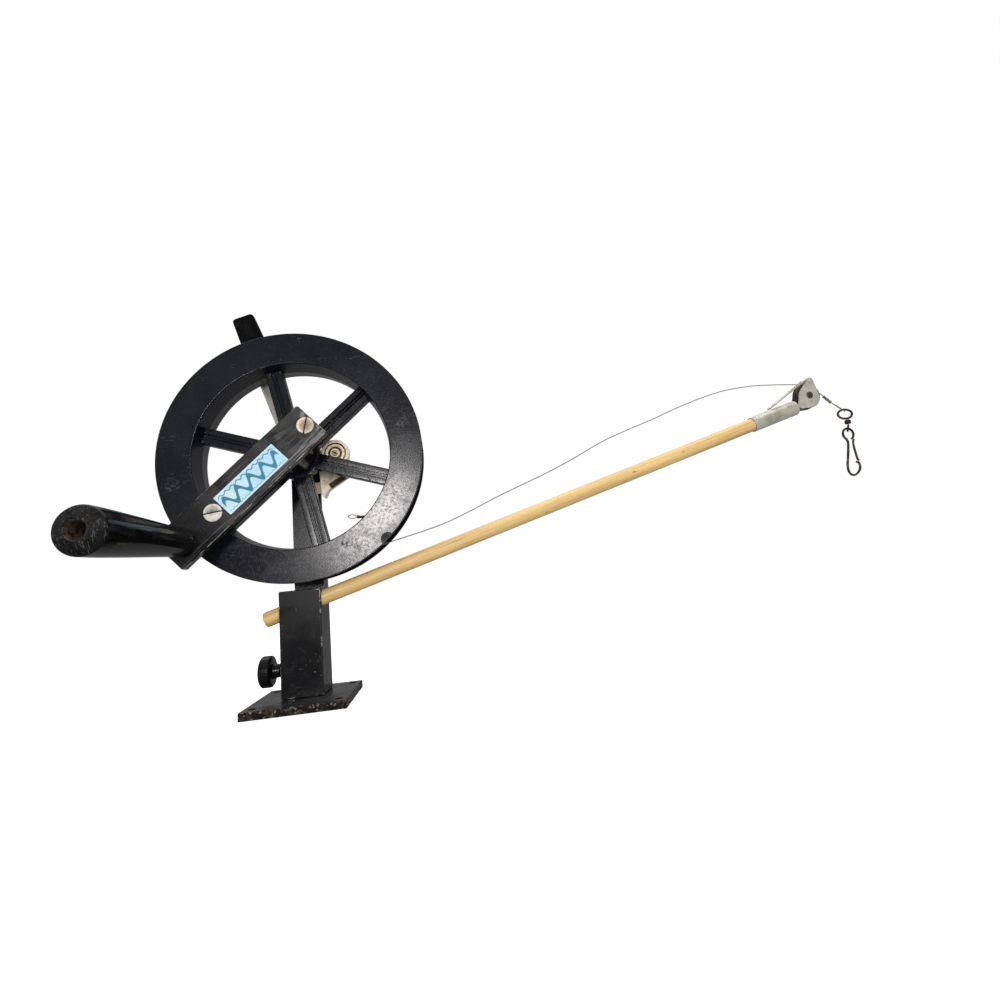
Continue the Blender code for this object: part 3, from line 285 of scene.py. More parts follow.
def worn_paint(name, shade=0.0045, turn=0.0, wear=0.66, marks=0.5, shine=0.5):
    """Black paint on metal, with scuffs, scratches and small chips down to the bare metal."""
    look = Look(name, (shade, shade, shade * 1.3), 0.22, turn=turn, specular_ior_level=shine)
    look.spots(22.0, 6.0, 0.42, 0.62, (shade * 1.9, shade * 1.9, shade * 2.3), 0.30)
    look.spots(75.0, 4.0, 0.56, 0.70, (shade * 3.2, shade * 3.1, shade * 3.2), 0.40, amount=0.6, shift=1.7)
    look.scratched(95.0, (0.9, 1.0, 13.0), 0.66, (0.120, 0.116, 0.112), 0.45, amount=marks)
    look.scratched(85.0, (11.0, 1.0, 0.9), 0.68, (0.105, 0.100, 0.098), 0.45, amount=marks, shift=8.0)
    dots = look.both(look.patch(520.0, 3.0, 0.64, 0.72, shift=9.0),
                     look.patch(26.0, 3.0, 0.55, 0.64, shift=2.0))
    look.layer(dots, (0.060, 0.058, 0.056), 0.55, amount=marks)
    look.spots(15.0, 5.0, 0.52, 0.66, (shade * 2.6, shade * 2.6, shade * 2.8), 0.46, amount=0.7,
               stretch=(1.0, 1.0, 0.6), shift=12.0, wobble=0.5)
    chips = look.both(look.patch(430.0, 3.0, wear, wear + 0.05, shift=4.0),
                      look.patch(30.0, 3.0, 0.52, 0.60, shift=6.0))
    look.layer(chips, (0.30, 0.28, 0.26), 0.45, 0.6)
    look.bump(look.math("SUBTRACT", 0.0, chips), 0.00012, 0.6)
    look.grain(420.0, 4.0, 0.00006, 0.6)
    return look


def arm_paint():
    """The crank arm's paint: long rub lines beside its lower edge, and bare metal round its short end."""
    look = worn_paint("arm_paint", 0.0080, ARM_ANGLE, 0.67, 0.75)
    along, across = look.arm_axes()
    lines = look.patch(420.0, 3.0, 0.51, 0.58, stretch=(0.045, 1.0, 1.0), shift=3.0)
    look.layer(look.both(lines, look.span(across, 0.0120, 0.0180)), (0.125, 0.120, 0.115), 0.45)
    faint = look.both(look.patch(300.0, 4.0, 0.54, 0.62, stretch=(0.10, 1.0, 1.0), shift=8.0),
                      look.patch(40.0, 3.0, 0.42, 0.58, shift=3.0))
    look.layer(faint, (0.040, 0.039, 0.040), 0.42, amount=0.8)
    bare = look.both(look.span(along, -0.028, -0.046), look.patch(120.0, 5.0, 0.52, 0.62, shift=2.0))
    look.layer(bare, (0.20, 0.185, 0.165), 0.5, 0.4, 0.85)
    far = look.both(look.span(along, 0.115, 0.150), look.patch(170.0, 5.0, 0.56, 0.64, shift=6.0))
    look.layer(far, (0.075, 0.073, 0.070), 0.5, amount=0.4)
    look.layer(look.span(along, 0.075, 0.145), (0.0035, 0.0035, 0.0040), 0.16, amount=0.75)
    return look


def rubbed_edge_and_highlight(name, amount, scale=70.0):
    """A painted edge with bright metal along part of its length: rubbed-through wear, and a painted highlight
    along the rounded edge.
    """
    look = Look(name, (0.008, 0.008, 0.010), 0.30)
    look.spots(scale, 5.0, 0.66 - amount, 0.78 - amount, (0.46, 0.44, 0.41), 0.38, 0.85)
    look.grain(500.0, 3.0, 0.00006, 0.6)
    return look.made


# The base plate's brown, chipped front edge
BASE_EDGE = (
    Look("base_edge_wear", (0.0022, 0.0021, 0.0021), 0.40, specular_ior_level=0.18)
    .spots(120.0, 6.0, 0.48, 0.58, (0.046, 0.028, 0.020), 0.55, stretch=(1.0, 1.0, 1.6), wobble=0.7)
    .spots(260.0, 5.0, 0.50, 0.60, (0.0020, 0.0018, 0.0018), 0.5, amount=0.8, shift=5.0)
    .spots(310.0, 4.0, 0.58, 0.66, (0.27, 0.225, 0.19), 0.55, 0.2, 0.75, shift=3.0)
    .grain(160.0, 5.0, 0.0003, 0.7)
).made


def wood():
    """Varnished softwood dowel: long grain, growth bands and small dark flecks."""
    look = Look(
        "boom_wood", (0.640, 0.425, 0.160), 0.46, turn=BOOM_SLOPE, coat_weight=0.12, coat_roughness=0.35)
    look.spots(16.0, 4.0, 0.36, 0.66, (0.740, 0.510, 0.205), stretch=(0.25, 5.0, 5.0))
    look.spots(60.0, 6.0, 0.50, 0.66, (0.480, 0.285, 0.098), amount=0.7, stretch=(0.06, 4.0, 4.0), shift=2.0)
    look.spots(420.0, 3.0, 0.55, 0.70, (0.36, 0.20, 0.07), amount=0.6, stretch=(0.035, 1.6, 1.6), shift=5.0)
    look.spots(9.0, 3.0, 0.52, 0.70, (0.690, 0.480, 0.190), amount=0.6, shift=9.0)
    flecks = look.both(look.patch(130.0, 2.0, 0.66, 0.71, stretch=(0.32, 1.0, 1.0), shift=7.0),
                       look.patch(24.0, 2.0, 0.47, 0.56, shift=4.0))
    look.layer(flecks, (0.17, 0.085, 0.035), 0.6, amount=0.8)
    look.grain(420.0, 3.0, 0.00012, 0.5, stretch=(0.035, 1.6, 1.6), shift=5.0)
    return look.made


def galvanised(name, color=(0.58, 0.57, 0.49), dull=(0.41, 0.40, 0.325), turn=0.0, pits=0.45, metallic=0.35):
    """Old zinc plating: grey patches, dark stains and pits."""
    look = Look(name, color, 0.34, metallic, turn=turn)
    look.spots(60.0, 4.0, 0.40, 0.64, dull, 0.42, metallic)
    look.spots(48.0, 4.0, 0.55, 0.70, (0.56, 0.55, 0.49), 0.30, metallic, 0.5, shift=4.0)
    look.spots(260.0, 4.0, 0.62, 0.70, (0.085, 0.072, 0.052), 0.7, 0.2, pits, shift=2.0)
    look.grain(300.0, 3.0, 0.00005, 0.4)
    return look.made


def plated(name, color, stain, roughness=0.36, metallic=0.6):
    """Plated fastener metal with fine turning marks and stains."""
    look = Look(name, color, roughness, metallic)
    look.spots(240.0, 5.0, 0.50, 0.68, stain, roughness + 0.2, amount=0.8)
    look.spots(900.0, 2.0, 0.60, 0.72, (0.12, 0.10, 0.08), 0.6, 0.4, 0.6, shift=3.0)
    look.grain(1300.0, 3.0, 0.00004, 0.5)
    return look.made


# Aged cream plastic with brown dirt in its low places
CREAM = (
    Look("cream_plastic", (0.900, 0.780, 0.610), 0.46, subsurface_weight=0.05)
    .spots(95.0, 5.0, 0.46, 0.66, (0.680, 0.540, 0.370), 0.55)
    .spots(300.0, 4.0, 0.60, 0.72, (0.235, 0.150, 0.075), 0.65, amount=0.7, shift=2.0)
    .grain(500.0, 4.0, 0.00006, 0.5)
).made


# Dark brown for the counter's recessed band, hollow inside and wheel grooves: painted shade there, with some
# brown dirt
COUNTER_SHADE_AND_GRIME = (
    Look("counter_shade_and_grime", (0.100, 0.062, 0.026), 0.72)
    .spots(260.0, 5.0, 0.46, 0.66, (0.220, 0.150, 0.080), 0.66)
    .grain(700.0, 4.0, 0.0001, 0.6)
).made


def gloss_black(name="gloss_black", color=(0.0018, 0.0018, 0.0020), roughness=0.13, shine=0.24):
    """Polished black plastic with light handling marks."""
    look = Look(name, color, roughness, specular_ior_level=shine)
    look.spots(45.0, 4.0, 0.48, 0.66, (0.0040, 0.0039, 0.0038), roughness + 0.12)
    look.scratched(90.0, (12.0, 1.0, 12.0), 0.67, (0.040, 0.039, 0.038), 0.4, amount=0.5)
    look.spots(700.0, 2.0, 0.66, 0.74, (0.040, 0.037, 0.034), 0.5, amount=0.4, shift=6.0)
    look.grain(140.0, 3.0, 0.0001, 0.25)
    return look.made


# The grip's cone end: the same black plastic, scuffed dull and chipped grey and tan
GRIP_END = (
    Look("grip_end", (0.0028, 0.0029, 0.0033), 0.36, specular_ior_level=0.22)
    .spots(90.0, 6.0, 0.46, 0.64, (0.010, 0.010, 0.011), 0.46, wobble=0.6)
    .scratched(150.0, (9.0, 1.0, 1.0), 0.62, (0.120, 0.118, 0.115), 0.5, amount=0.7, sparse=0.50)
    .spots(520.0, 4.0, 0.62, 0.70, (0.170, 0.160, 0.145), 0.55, amount=0.6, shift=3.0)
    .grain(320.0, 5.0, 0.0001, 0.6)
).made


# The dusty brown inside of the grip's bore
BORE = (
    Look("grip_bore", (0.105, 0.070, 0.047), 0.62)
    .spots(170.0, 5.0, 0.45, 0.65, (0.022, 0.015, 0.011), 0.55)
    .spots(520.0, 3.0, 0.60, 0.70, (0.20, 0.14, 0.09), 0.7, amount=0.6)
    .grain(600.0, 4.0, 0.0001, 0.6)
).made


def rusty(name="rusty_wire", bright=0.62):
    """Brown rust over steel, with a little bright metal where parts rub."""
    look = Look(name, (0.018, 0.0085, 0.0060), 0.62, 0.15)
    look.spots(230.0, 5.0, 0.46, 0.62, (0.070, 0.024, 0.012), 0.72, 0.1, 0.85)
    look.spots(500.0, 4.0, 0.54, 0.68, (0.007, 0.005, 0.0045), 0.6, 0.2, 0.8, shift=2.0)
    look.spots(170.0, 3.0, bright, bright + 0.08, (0.17, 0.155, 0.145), 0.42, 0.6, 0.8, shift=5.0)
    look.grain(1400.0, 4.0, 0.00012, 0.6)
    return look.made


def strand():
    """Twisted steel cable: fine slanting strands, a little oxide."""
    look = Look("cable_strand", (0.255, 0.250, 0.235), 0.45, 0.4, turn=math.radians(38.0))
    waves = look.node("ShaderNodeTexWave", Vector=look.at(), Scale=480.0, Distortion=0.4).outputs["Fac"]
    look.layer(look.span(waves, 0.55, 0.15), (0.205, 0.200, 0.188), 0.55)
    look.spots(70.0, 3.0, 0.56, 0.68, (0.180, 0.145, 0.105), 0.6, amount=0.6)
    look.bump(waves, 0.00015, 0.6)
    return look.made


# Oxidised aluminium strip with a warm, dusty film
LEVER = (
    Look("lever_metal", (0.520, 0.495, 0.440), 0.50, 0.25, turn=LEVER_ANGLE)
    .spots(60.0, 5.0, 0.44, 0.64, (0.330, 0.300, 0.245), 0.60, 0.15, stretch=(0.4, 1.0, 3.0))
    .scratched(120.0, (0.6, 1.0, 14.0), 0.64, (0.60, 0.59, 0.56), 0.35, 0.5, 0.6)
    .spots(360.0, 3.0, 0.62, 0.70, (0.200, 0.150, 0.100), 0.7, 0.2, 0.6, shift=4.0)
    .grain(800.0, 3.0, 0.00005, 0.5)
).made


# Dipped black vinyl: slightly lumpy, with a nick at one corner
VINYL = (
    Look("dipped_vinyl", (0.0016, 0.0016, 0.0020), 0.36, specular_ior_level=0.10)
    .spots(60.0, 4.0, 0.48, 0.66, (0.0034, 0.0034, 0.0036), 0.48)
    .spots(620.0, 2.0, 0.66, 0.74, (0.07, 0.07, 0.07), 0.5, amount=0.35, shift=3.0)
    .grain(120.0, 3.0, 0.0003, 0.35)
).made


# Pressed brown fibre, as in the pulley and the brake disc
FIBRE = (
    Look("pressed_fibre", (0.030, 0.018, 0.012), 0.55)
    .spots(200.0, 5.0, 0.45, 0.62, (0.052, 0.031, 0.018), 0.62)
    .spots(900.0, 3.0, 0.58, 0.68, (0.020, 0.012, 0.009), 0.6, shift=2.0)
    .grain(700.0, 4.0, 0.0001, 0.6)
).made


def label_print():
    """A pale blue label with a plain printed wave in place of any lettering."""
    look = Look("label_print", (0.42, 0.64, 0.80), 0.34, turn=ARM_ANGLE, coat_weight=0.25, coat_roughness=0.2)
    along, across = look.arm_axes()
    look.layer(look.span(along, 0.020, 0.095), (0.56, 0.74, 0.80))
    look.spots(60.0, 3.0, 0.45, 0.65, (0.34, 0.56, 0.70), amount=0.5)
    for middle, reach, thick, pitch, amount in (
        (0.0042, 0.0066, 0.0027, 0.0190, 1.0), (-0.0072, 0.0012, 0.0006, 0.0085, 0.9),
        (0.0138, 0.0006, 0.00030, 0.0060, 0.8),
    ):
        wave = look.math("SINE", look.both(along, math.tau / pitch))
        line = look.math("MULTIPLY_ADD", wave, reach, middle)
        off = look.math("ABSOLUTE", look.math("SUBTRACT", across, line))
        ends = look.both(look.span(along, 0.0105, 0.0112), look.span(along, 0.0952, 0.0945))
        inside = look.both(look.span(off, thick * 1.6, thick), ends)
        look.layer(inside, (0.002, 0.185, 0.270), 0.4, amount=amount)
    edge = look.math("ABSOLUTE", look.math("SUBTRACT", across, 0.0026))
    look.layer(look.span(edge, 0.0130, 0.0133), (0.66, 0.76, 0.80))
    look.spots(500.0, 3.0, 0.66, 0.74, (0.30, 0.42, 0.46), amount=0.5)
    look.grain(400.0, 3.0, 0.00005, 0.4)
    return look.made


PLASTIC = dark_plastic().made
ARM_PAINT = arm_paint().made
# The arm's and column's rounded edges take the rubbed-edge look: wear, and a painted highlight along the
# edge.
ARM_EDGE = rubbed_edge_and_highlight("arm_edge", 0.20)
COLUMN_PAINT = worn_paint("column_paint", 0.0036, marks=0.8, shine=0.24).made
COLUMN_EDGE = rubbed_edge_and_highlight("column_edge", 0.10, scale=110.0)
BASE_PAINT = worn_paint("base_paint", 0.0060, shine=0.8).made
POST_PAINT = worn_paint("post_paint", 0.0042, wear=0.70).made
WOOD = wood()
GALVANISED = galvanised("galvanised", turn=BOOM_SLOPE, metallic=0.5)
TIP_METAL = galvanised("tip_plate_zinc", (0.52, 0.50, 0.44), (0.42, 0.405, 0.35), pits=0.7)
TIP_EDGE = galvanised("tip_plate_edge", (0.060, 0.050, 0.036), (0.022, 0.018, 0.013), metallic=0.2)
STEEL = plated("zinc_steel", (0.50, 0.49, 0.465), (0.33, 0.31, 0.275))
CRIMP_METAL = plated("crimp_metal", (0.17, 0.16, 0.13), (0.040, 0.036, 0.028), 0.5, 0.2)
SCREW_STEEL = plated("screw_steel", (0.70, 0.68, 0.62), (0.48, 0.44, 0.38), 0.34, 0.25)
SCREW_BRASS = plated("screw_brass", (0.62, 0.50, 0.385), (0.44, 0.32, 0.21), 0.38, 0.25)
BRONZE = plated("bronze", (0.40, 0.26, 0.13), (0.22, 0.14, 0.07))
GLOSS = gloss_black()
KNOB_BLACK = gloss_black("knob_black", (0.0040, 0.0040, 0.0044), 0.24)
# Near-black for the walls of slots and holes that the Boolean tools cut: painted shade in those recesses
SLOT_SHADE_BLACK = gloss_black("painted_slot_shade", (0.0035, 0.0028, 0.0022), 0.6, 0.1)
RUSTY = rusty()
SNAP_METAL = rusty("snap_metal", 0.54)
STRAND = strand()
LABEL = label_print()


# --- mesh helpers

def add(name, data, *looks):
    made = bpy.data.objects.new(name, data)
    SCENE.collection.objects.link(made)
    for look in looks:
        data.materials.append(look)
    return made


def smooth(item):
    item.data.shade_smooth()
    item.data.set_sharp_from_angle(angle=math.radians(38.0))
    if item.modifiers.get("flat_faces") is None:
        weighted = item.modifiers.new("flat_faces", "WEIGHTED_NORMAL")
        weighted.keep_sharp = True
    return item


def carve(item, operation, *tools):
    """Applies one Boolean with each tool in turn, then removes the tools."""
    for old in list(item.modifiers):
        item.modifiers.remove(old)
    for tool in tools:
        modifier = item.modifiers.new("carve", "BOOLEAN")
        modifier.operation = operation
        modifier.solver = "EXACT"
        modifier.material_mode = "TRANSFER"
        modifier.object = tool
    bpy.context.view_layer.update()
    graph = bpy.context.evaluated_depsgraph_get()
    mesh = bpy.data.meshes.new_from_object(item.evaluated_get(graph))
    item.modifiers.clear()
    item.data = mesh
    for tool in tools:
        bpy.data.objects.remove(tool, do_unlink=True)
    return smooth(item)


def eased(points, reach, steps=3):
    """The closed outline with its corners rounded, apart from those on a turning axis."""
    found = []
    for k, point in enumerate(points):
        corner = Vector(point)
        before = Vector(points[k - 1]) - corner
        after = Vector(points[(k + 1) % len(points)]) - corner
        near = min(reach, 0.45 * before.length, 0.45 * after.length)
        if corner.x == 0.0 or near < 1e-6:
            found.append(corner)
            continue
        start, end = corner + before.normalized() * near, corner + after.normalized() * near
        for step in range(steps + 1):
            t = step / steps
            found.append(start * (1 - t) ** 2 + corner * 2 * t * (1 - t) + end * t * t)
    return found


def lathe(name, profile, place, direction, look, steps=96, ease=0.0004, more=()):
    """A closed profile of (radius, distance along direction) turned about the axis through place."""
    outline = eased(profile, ease) if ease else [Vector(point) for point in profile]
    turn = direction.to_track_quat("Z", "Y").to_matrix()
    count = len(outline)
    points = []
    for k in range(steps):
        angle = math.tau * k / steps
        for radius, along in outline:
            points.append(place + turn @ Vector((radius * math.cos(angle), radius * math.sin(angle), along)))
    faces = []
    for k in range(steps):
        for j in range(count):
            a, b = k * count + j, k * count + (j + 1) % count
            shift = count if k < steps - 1 else -count * (steps - 1)
            faces.append((a, b, b + shift, a + shift))
    mesh = bpy.data.meshes.new(name)
    mesh.from_pydata(points, [], faces)
    bm = bmesh.new()
    bm.from_mesh(mesh)
    bmesh.ops.remove_doubles(bm, verts=bm.verts, dist=1e-7)
    bmesh.ops.recalc_face_normals(bm, faces=bm.faces)
    bm.to_mesh(mesh)
    bm.free()
    return smooth(add(name, mesh, look, *more))


def slab(name, outline, frame, depth, looks, ease=0.0006, segments=3, sharp=25.0):
    """A flat outline with rounded edges; the rounded faces take the second look where there is one."""
    bm = bmesh.new()
    low = [bm.verts.new(frame @ Vector((x, y, -depth / 2))) for x, y in outline]
    high = [bm.verts.new(frame @ Vector((x, y, depth / 2))) for x, y in outline]
    bm.faces.new(low)
    bm.faces.new(high)
    for k in range(len(outline)):
        bm.faces.new((low[k - 1], low[k], high[k], high[k - 1]))
    bmesh.ops.recalc_face_normals(bm, faces=bm.faces)
    if ease:
        edges = [e for e in bm.edges if math.degrees(e.calc_face_angle(0.0)) > sharp]
        bmesh.ops.bevel(
            bm, geom=edges, offset=ease, offset_type="OFFSET", segments=segments, profile=0.5,
            affect="EDGES", clamp_overlap=True, material=1 if len(looks) > 1 else -1)
    mesh = bpy.data.meshes.new(name)
    bm.to_mesh(mesh)
    bm.free()
    return smooth(add(name, mesh, *looks))


def facing_y(y):
    return Matrix(((1, 0, 0, 0), (0, 0, -1, y), (0, 1, 0, 0), (0, 0, 0, 1)))


def plate(name, outline, y_low, y_high, looks, **easing):
    return slab(name, outline, facing_y((y_low + y_high) / 2), y_high - y_low, looks, **easing)


def block(name, low, high, looks, **easing):
    outline = [(low[0], low[1]), (high[0], low[1]), (high[0], high[1]), (low[0], high[1])]
    return slab(
        name, outline, Matrix.Translation((0, 0, (low[2] + high[2]) / 2)), high[2] - low[2], looks, **easing)


def second_look_on_edges(item, flat_axis):
    for face in item.data.polygons:
        if abs(getattr(face.normal, flat_axis)) < 0.5:
            face.material_index = 1


def drum(start, end, radius, look=SLOT_SHADE_BLACK, steps=64):
    """A plain round tool for the Booleans; by default the walls it cuts take near-black, as painted shade."""
    start, end = Vector(start), Vector(end)
    span = end - start
    profile = [(0.0, 0.0), (radius, 0.0), (radius, span.length), (0.0, span.length)]
    return lathe("tool", profile, start, span.normalized(), look, steps, 0.0)


def across_y(place, low, high, radius, look=SLOT_SHADE_BLACK, steps=64):
    # By default the hole's wall takes near-black: painted shade.
    return drum((place.x, low, place.z), (place.x, high, place.z), radius, look, steps)


def cutter(low, high, place, angle, look):
    """A block tool with its corners about the place, turned about Y."""
    made = block("tool", low, high, (look,), ease=0.0)
    made.matrix_world = Matrix.Translation(place) @ Matrix.Rotation(-angle, 4, "Y")
    return made


def smooth_path(points, spacing, tight_spacing=None, tight_from=None):
    """Points on a Catmull-Rom curve through the given ones, closer together where X passes tight_from."""
    points = [Vector(point) for point in points]
    ends = [2 * points[0] - points[1], *points, 2 * points[-1] - points[-2]]
    fine = []
    for k in range(1, len(ends) - 2):
        a, b, c, d = ends[k - 1:k + 3]
        for step in range(24):
            t = step / 24
            fine.append(0.5 * (2 * b + (c - a) * t + (2 * a - 5 * b + 4 * c - d) * t**2
                               + (3 * b - a - 3 * c + d) * t**3))
    fine.append(points[-1])
    kept, walked = [fine[0]], 0.0
    for a, b in zip(fine, fine[1:]):
        walked += (b - a).length
        tight = tight_from is not None and b.x > tight_from
        if walked >= (tight_spacing if tight else spacing):
            kept.append(b)
            walked = 0.0
    kept[-1] = fine[-1]
    return kept


def wire(name, points, radius, look, closed=False):
    """A round wire through the points, as a curve."""
    curve = bpy.data.curves.new(name, "CURVE")
    curve.dimensions = "3D"
    curve.bevel_depth = radius
    curve.bevel_resolution = 4
    curve.use_fill_caps = not closed
    spline = curve.splines.new("POLY")
    spline.points.add(len(points) - 1)
    for point, place in zip(spline.points, points):
        point.co = (*place, 1.0)
    spline.use_cyclic_u = closed
    spline.use_smooth = True
    return add(name, curve, look)


def fit(piece, body, slot, *nodes):
    """The piece stands for these CAD nodes and rides on their body; the slot is not used."""
    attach(piece, body)
    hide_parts(*nodes)
    return piece


def dress(node, look, ease):
    """A CAD node that stays shown, with softened edges and a real finish."""
    item = frame["nodes"][node]
    item.data.materials.clear()
    item.data.materials.append(look)
    if ease:
        bevel = item.modifiers.new("soft_edges", "BEVEL")
        bevel.width = ease
        bevel.segments = 2
        bevel.limit_method = "ANGLE"
        bevel.angle_limit = math.radians(40)
        bevel.harden_normals = False
    return item


def slanted(start, angle, distance, offset=0.0):
    """The point at a distance along and an offset across a line that slants in the XZ plane."""
    along = Vector((math.cos(angle), 0.0, math.sin(angle)))
    across = Vector((-math.sin(angle), 0.0, math.cos(angle)))
    return start + along * distance + across * offset


def boom_point(distance, offset=0.0):
    return slanted(BOOM_START, BOOM_SLOPE, distance, offset)


def arm_point(distance, offset=0.0):
    return slanted(REEL_AXIS, ARM_ANGLE, distance, offset)


def arc(centre, radius, start, end, count):
    found = []
    for k in range(count):
        angle = math.radians(start + (end - start) * k / (count - 1))
        found.append((centre[0] + radius * math.cos(angle), centre[1] + radius * math.sin(angle)))
    return found


# --- cable and tackle

CRIMP_START = Vector((0.7758, MID_Y, 0.3514))
CRIMP_END = Vector((0.7868, MID_Y, 0.3405))
LOOP_END = Vector((0.8065, MID_Y, 0.3262))
LOOP_AIM = (LOOP_END - CRIMP_END).normalized()
EYE_TOP = LOOP_END - LOOP_AIM * 0.0036
SWIVEL_TURN = Vector((0.8078, MID_Y, 0.3090))
TACKLE_TURN = math.radians(-42)


def ring_points(centre, across, up, count=40):
    return [
        centre + across * math.cos(math.tau * k / count) + up * math.sin(math.tau * k / count)
        for k in range(count)
    ]


def eye_points(root, along, out, side, reach):
    """A cable's eye: up one side by (distance, width) pairs, round its end at reach, and back."""
    near = [root + along * far + out * wide for far, wide in side]
    back = [root + along * far - out * wide for far, wide in side[::-1]]
    return [*near, root + along * reach, *back]


def make_cable():
    route = smooth_path([(x, MID_Y, z) for x, z in CABLE_ROUTE], 0.0040, 0.0015, 0.738)
    cable = fit(wire("cable", route, 0.0007, STRAND), "column", "cable_wire", "free_cable")
    span = CRIMP_END - CRIMP_START
    crimp = lathe("crimp", [
        (0.0009, 0.0), (0.0019, 0.0), (0.0022, 0.0012), (0.0018, 0.0030), (0.0018, 0.0048), (0.0022, 0.0064),
        (0.0022, 0.0082), (0.0018, 0.0098), (0.0018, 0.0116), (0.0022, 0.0134), (0.0021, 0.0150),
        (0.0009, span.length),
    ], CRIMP_START, span.normalized(), CRIMP_METAL, 32, 0.0003)
    fit(crimp, "column", "zinc_steel", "crimp_sleeve")
    out = LOOP_AIM.cross(Y_AXIS) * 0.0031 + Y_AXIS * 0.0035
    root = CRIMP_END + LOOP_AIM * 0.0012
    reach = (LOOP_END - root).length
    side = [(0.0, 0.22), (0.007, 0.8), (0.013, 1.0), (reach - 0.0022, 0.85)]
    loop = eye_points(root, LOOP_AIM, out, side, reach)
    end_loop = wire("cable_loop", smooth_path(loop, 0.0010), 0.0006, STRAND)
    fit(end_loop, "column", "cable_wire", "cable_end_loop")
    return cable, [crimp, end_loop, *make_tackle()]


def make_tackle():
    """The swivel and the snap hook that hang from the cable's end loop."""
    across = Vector((math.cos(TACKLE_TURN), math.sin(TACKLE_TURN), 0.0))
    up = Vector((0, 0, 1))
    eye_centre = EYE_TOP + Vector((0.0022, 0.0, -0.0070))
    ring = ring_points(eye_centre, across * 0.0088, EYE_TOP - eye_centre)
    eye = wire("swivel_eye", ring, 0.0016, RUSTY, True)
    fit(eye, "swivel_top", "rusty_steel", "swivel_top_eye")
    barrel = lathe("swivel_body", [
        (0.0, 0.0030), (0.0028, 0.0030), (0.0040, 0.0020), (0.0045, 0.0008), (0.0041, -0.0002),
        (0.0045, -0.0012), (0.0042, -0.0024), (0.0034, -0.0034), (0.0, -0.0034),
    ], SWIVEL_TURN, up, RUSTY, 40, 0.0003)
    fit(barrel, "swivel_top", "rusty_steel", "swivel_barrel")
    made = [eye, barrel]
    for node, look in (("swivel_lower_eye", RUSTY), ("snap_hook", SNAP_METAL), ("snap_latch", RUSTY)):
        item = dress(node, look, 0.0)
        rounder = item.modifiers.new("even_skin", "REMESH")
        rounder.mode = "VOXEL"
        rounder.voxel_size = 0.00045
        rounder.use_smooth_shade = True
        softer = item.modifiers.new("round_wire", "SMOOTH")
        softer.factor = 0.5
        softer.iterations = 4
        made.append(item)
    return made


cable, cable_pieces = make_cable()


# --- base, column and lock

def make_base():
    base_low, base_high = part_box("base_plate")
    base = block("base_worn", base_low, base_high, (BASE_PAINT, BASE_EDGE), ease=0.0009)
    second_look_on_edges(base, "z")
    top = base_high.z
    tools = []
    for x in (-0.048, 0.048):
        for y in (-0.046, 0.046):
            # The holes' walls take the near-black slot look: painted shade in the holes.
            tools.append(lathe("tool", [
                (0.0, -0.001), (0.0042, -0.001), (0.0042, top - 0.0008), (0.0051, top + 0.0001),
                (0.0051, top + 0.001), (0.0, top + 0.001),
            ], Vector((x, y, 0.0)), Vector((0, 0, 1)), SLOT_SHADE_BLACK, 48, 0.0))
    carve(base, "DIFFERENCE", *tools)
    fit(base, "base", "black_paint", "base_plate")


def make_column():
    low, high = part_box("column_tube")
    wall = 0.003
    # Its rounded edges take the rubbed-edge look: wear and a painted highlight.
    tube = block("column_shell", low, high, (COLUMN_PAINT, COLUMN_EDGE), ease=0.0014, segments=4)
    inset = Vector((wall, wall, -0.01))
    core = block("tool", low + inset, high - inset, (COLUMN_PAINT,), ease=0.0)
    # The lock and screw holes cut here get near-black walls: painted shade.
    tools = [
        core,
        drum(boom_point(-0.02), boom_point(0.12), BOOM_R + GAP, FIBRE),
        drum((low.x - 0.001, *LOCK_AXIS.yz), (low.x + wall + 0.001, *LOCK_AXIS.yz), SCREW_HOLE_R),
    ]
    for z in (0.078, 0.124):
        tools.append(across_y(Vector((0, 0, z)), high.y - 0.004, high.y + 0.001, SCREW_HOLE_R))
    carve(tube, "DIFFERENCE", *tools)
    fit(tube, "column", "black_paint", "column_tube")
    knob = lathe("knob", [
        (0.0, 0.0146), (0.0, 0.0292), (0.0060, 0.0292), (0.0070, 0.0300), (0.0165, 0.0300), (0.0192, 0.0278),
        (0.0192, 0.0178), (0.0172, 0.0158), (0.0090, 0.0150), (0.0080, 0.0062), (SCREW_HOLE_R, 0.0062),
        (SCREW_HOLE_R, 0.0146),
    ], Vector((low.x, *LOCK_AXIS.yz)), Vector((-1.0, 0.0, 0.0)), KNOB_BLACK, 180, 0.0008)
    for vertex in knob.data.vertices:
        arm = Vector((0.0, *(vertex.co - LOCK_AXIS).yz))
        if arm.length > 0.0150:
            angle = math.atan2(arm.z, arm.y)
            shrink = 0.00016 * (0.5 + 0.5 * math.cos(30 * angle)) / arm.length
            vertex.co -= arm * shrink
    fit(knob, "lock", "gloss_black", "lock_knob")


# --- boom and tip

def hull(circles, steps=64):
    """The outline round several circles of (x, z, radius)."""
    points = [point for x, z, radius in circles for point in arc((x, z), radius, 0, 360 - 360 / steps, steps)]
    return [points[k] for k in convex_hull_2d(points)]


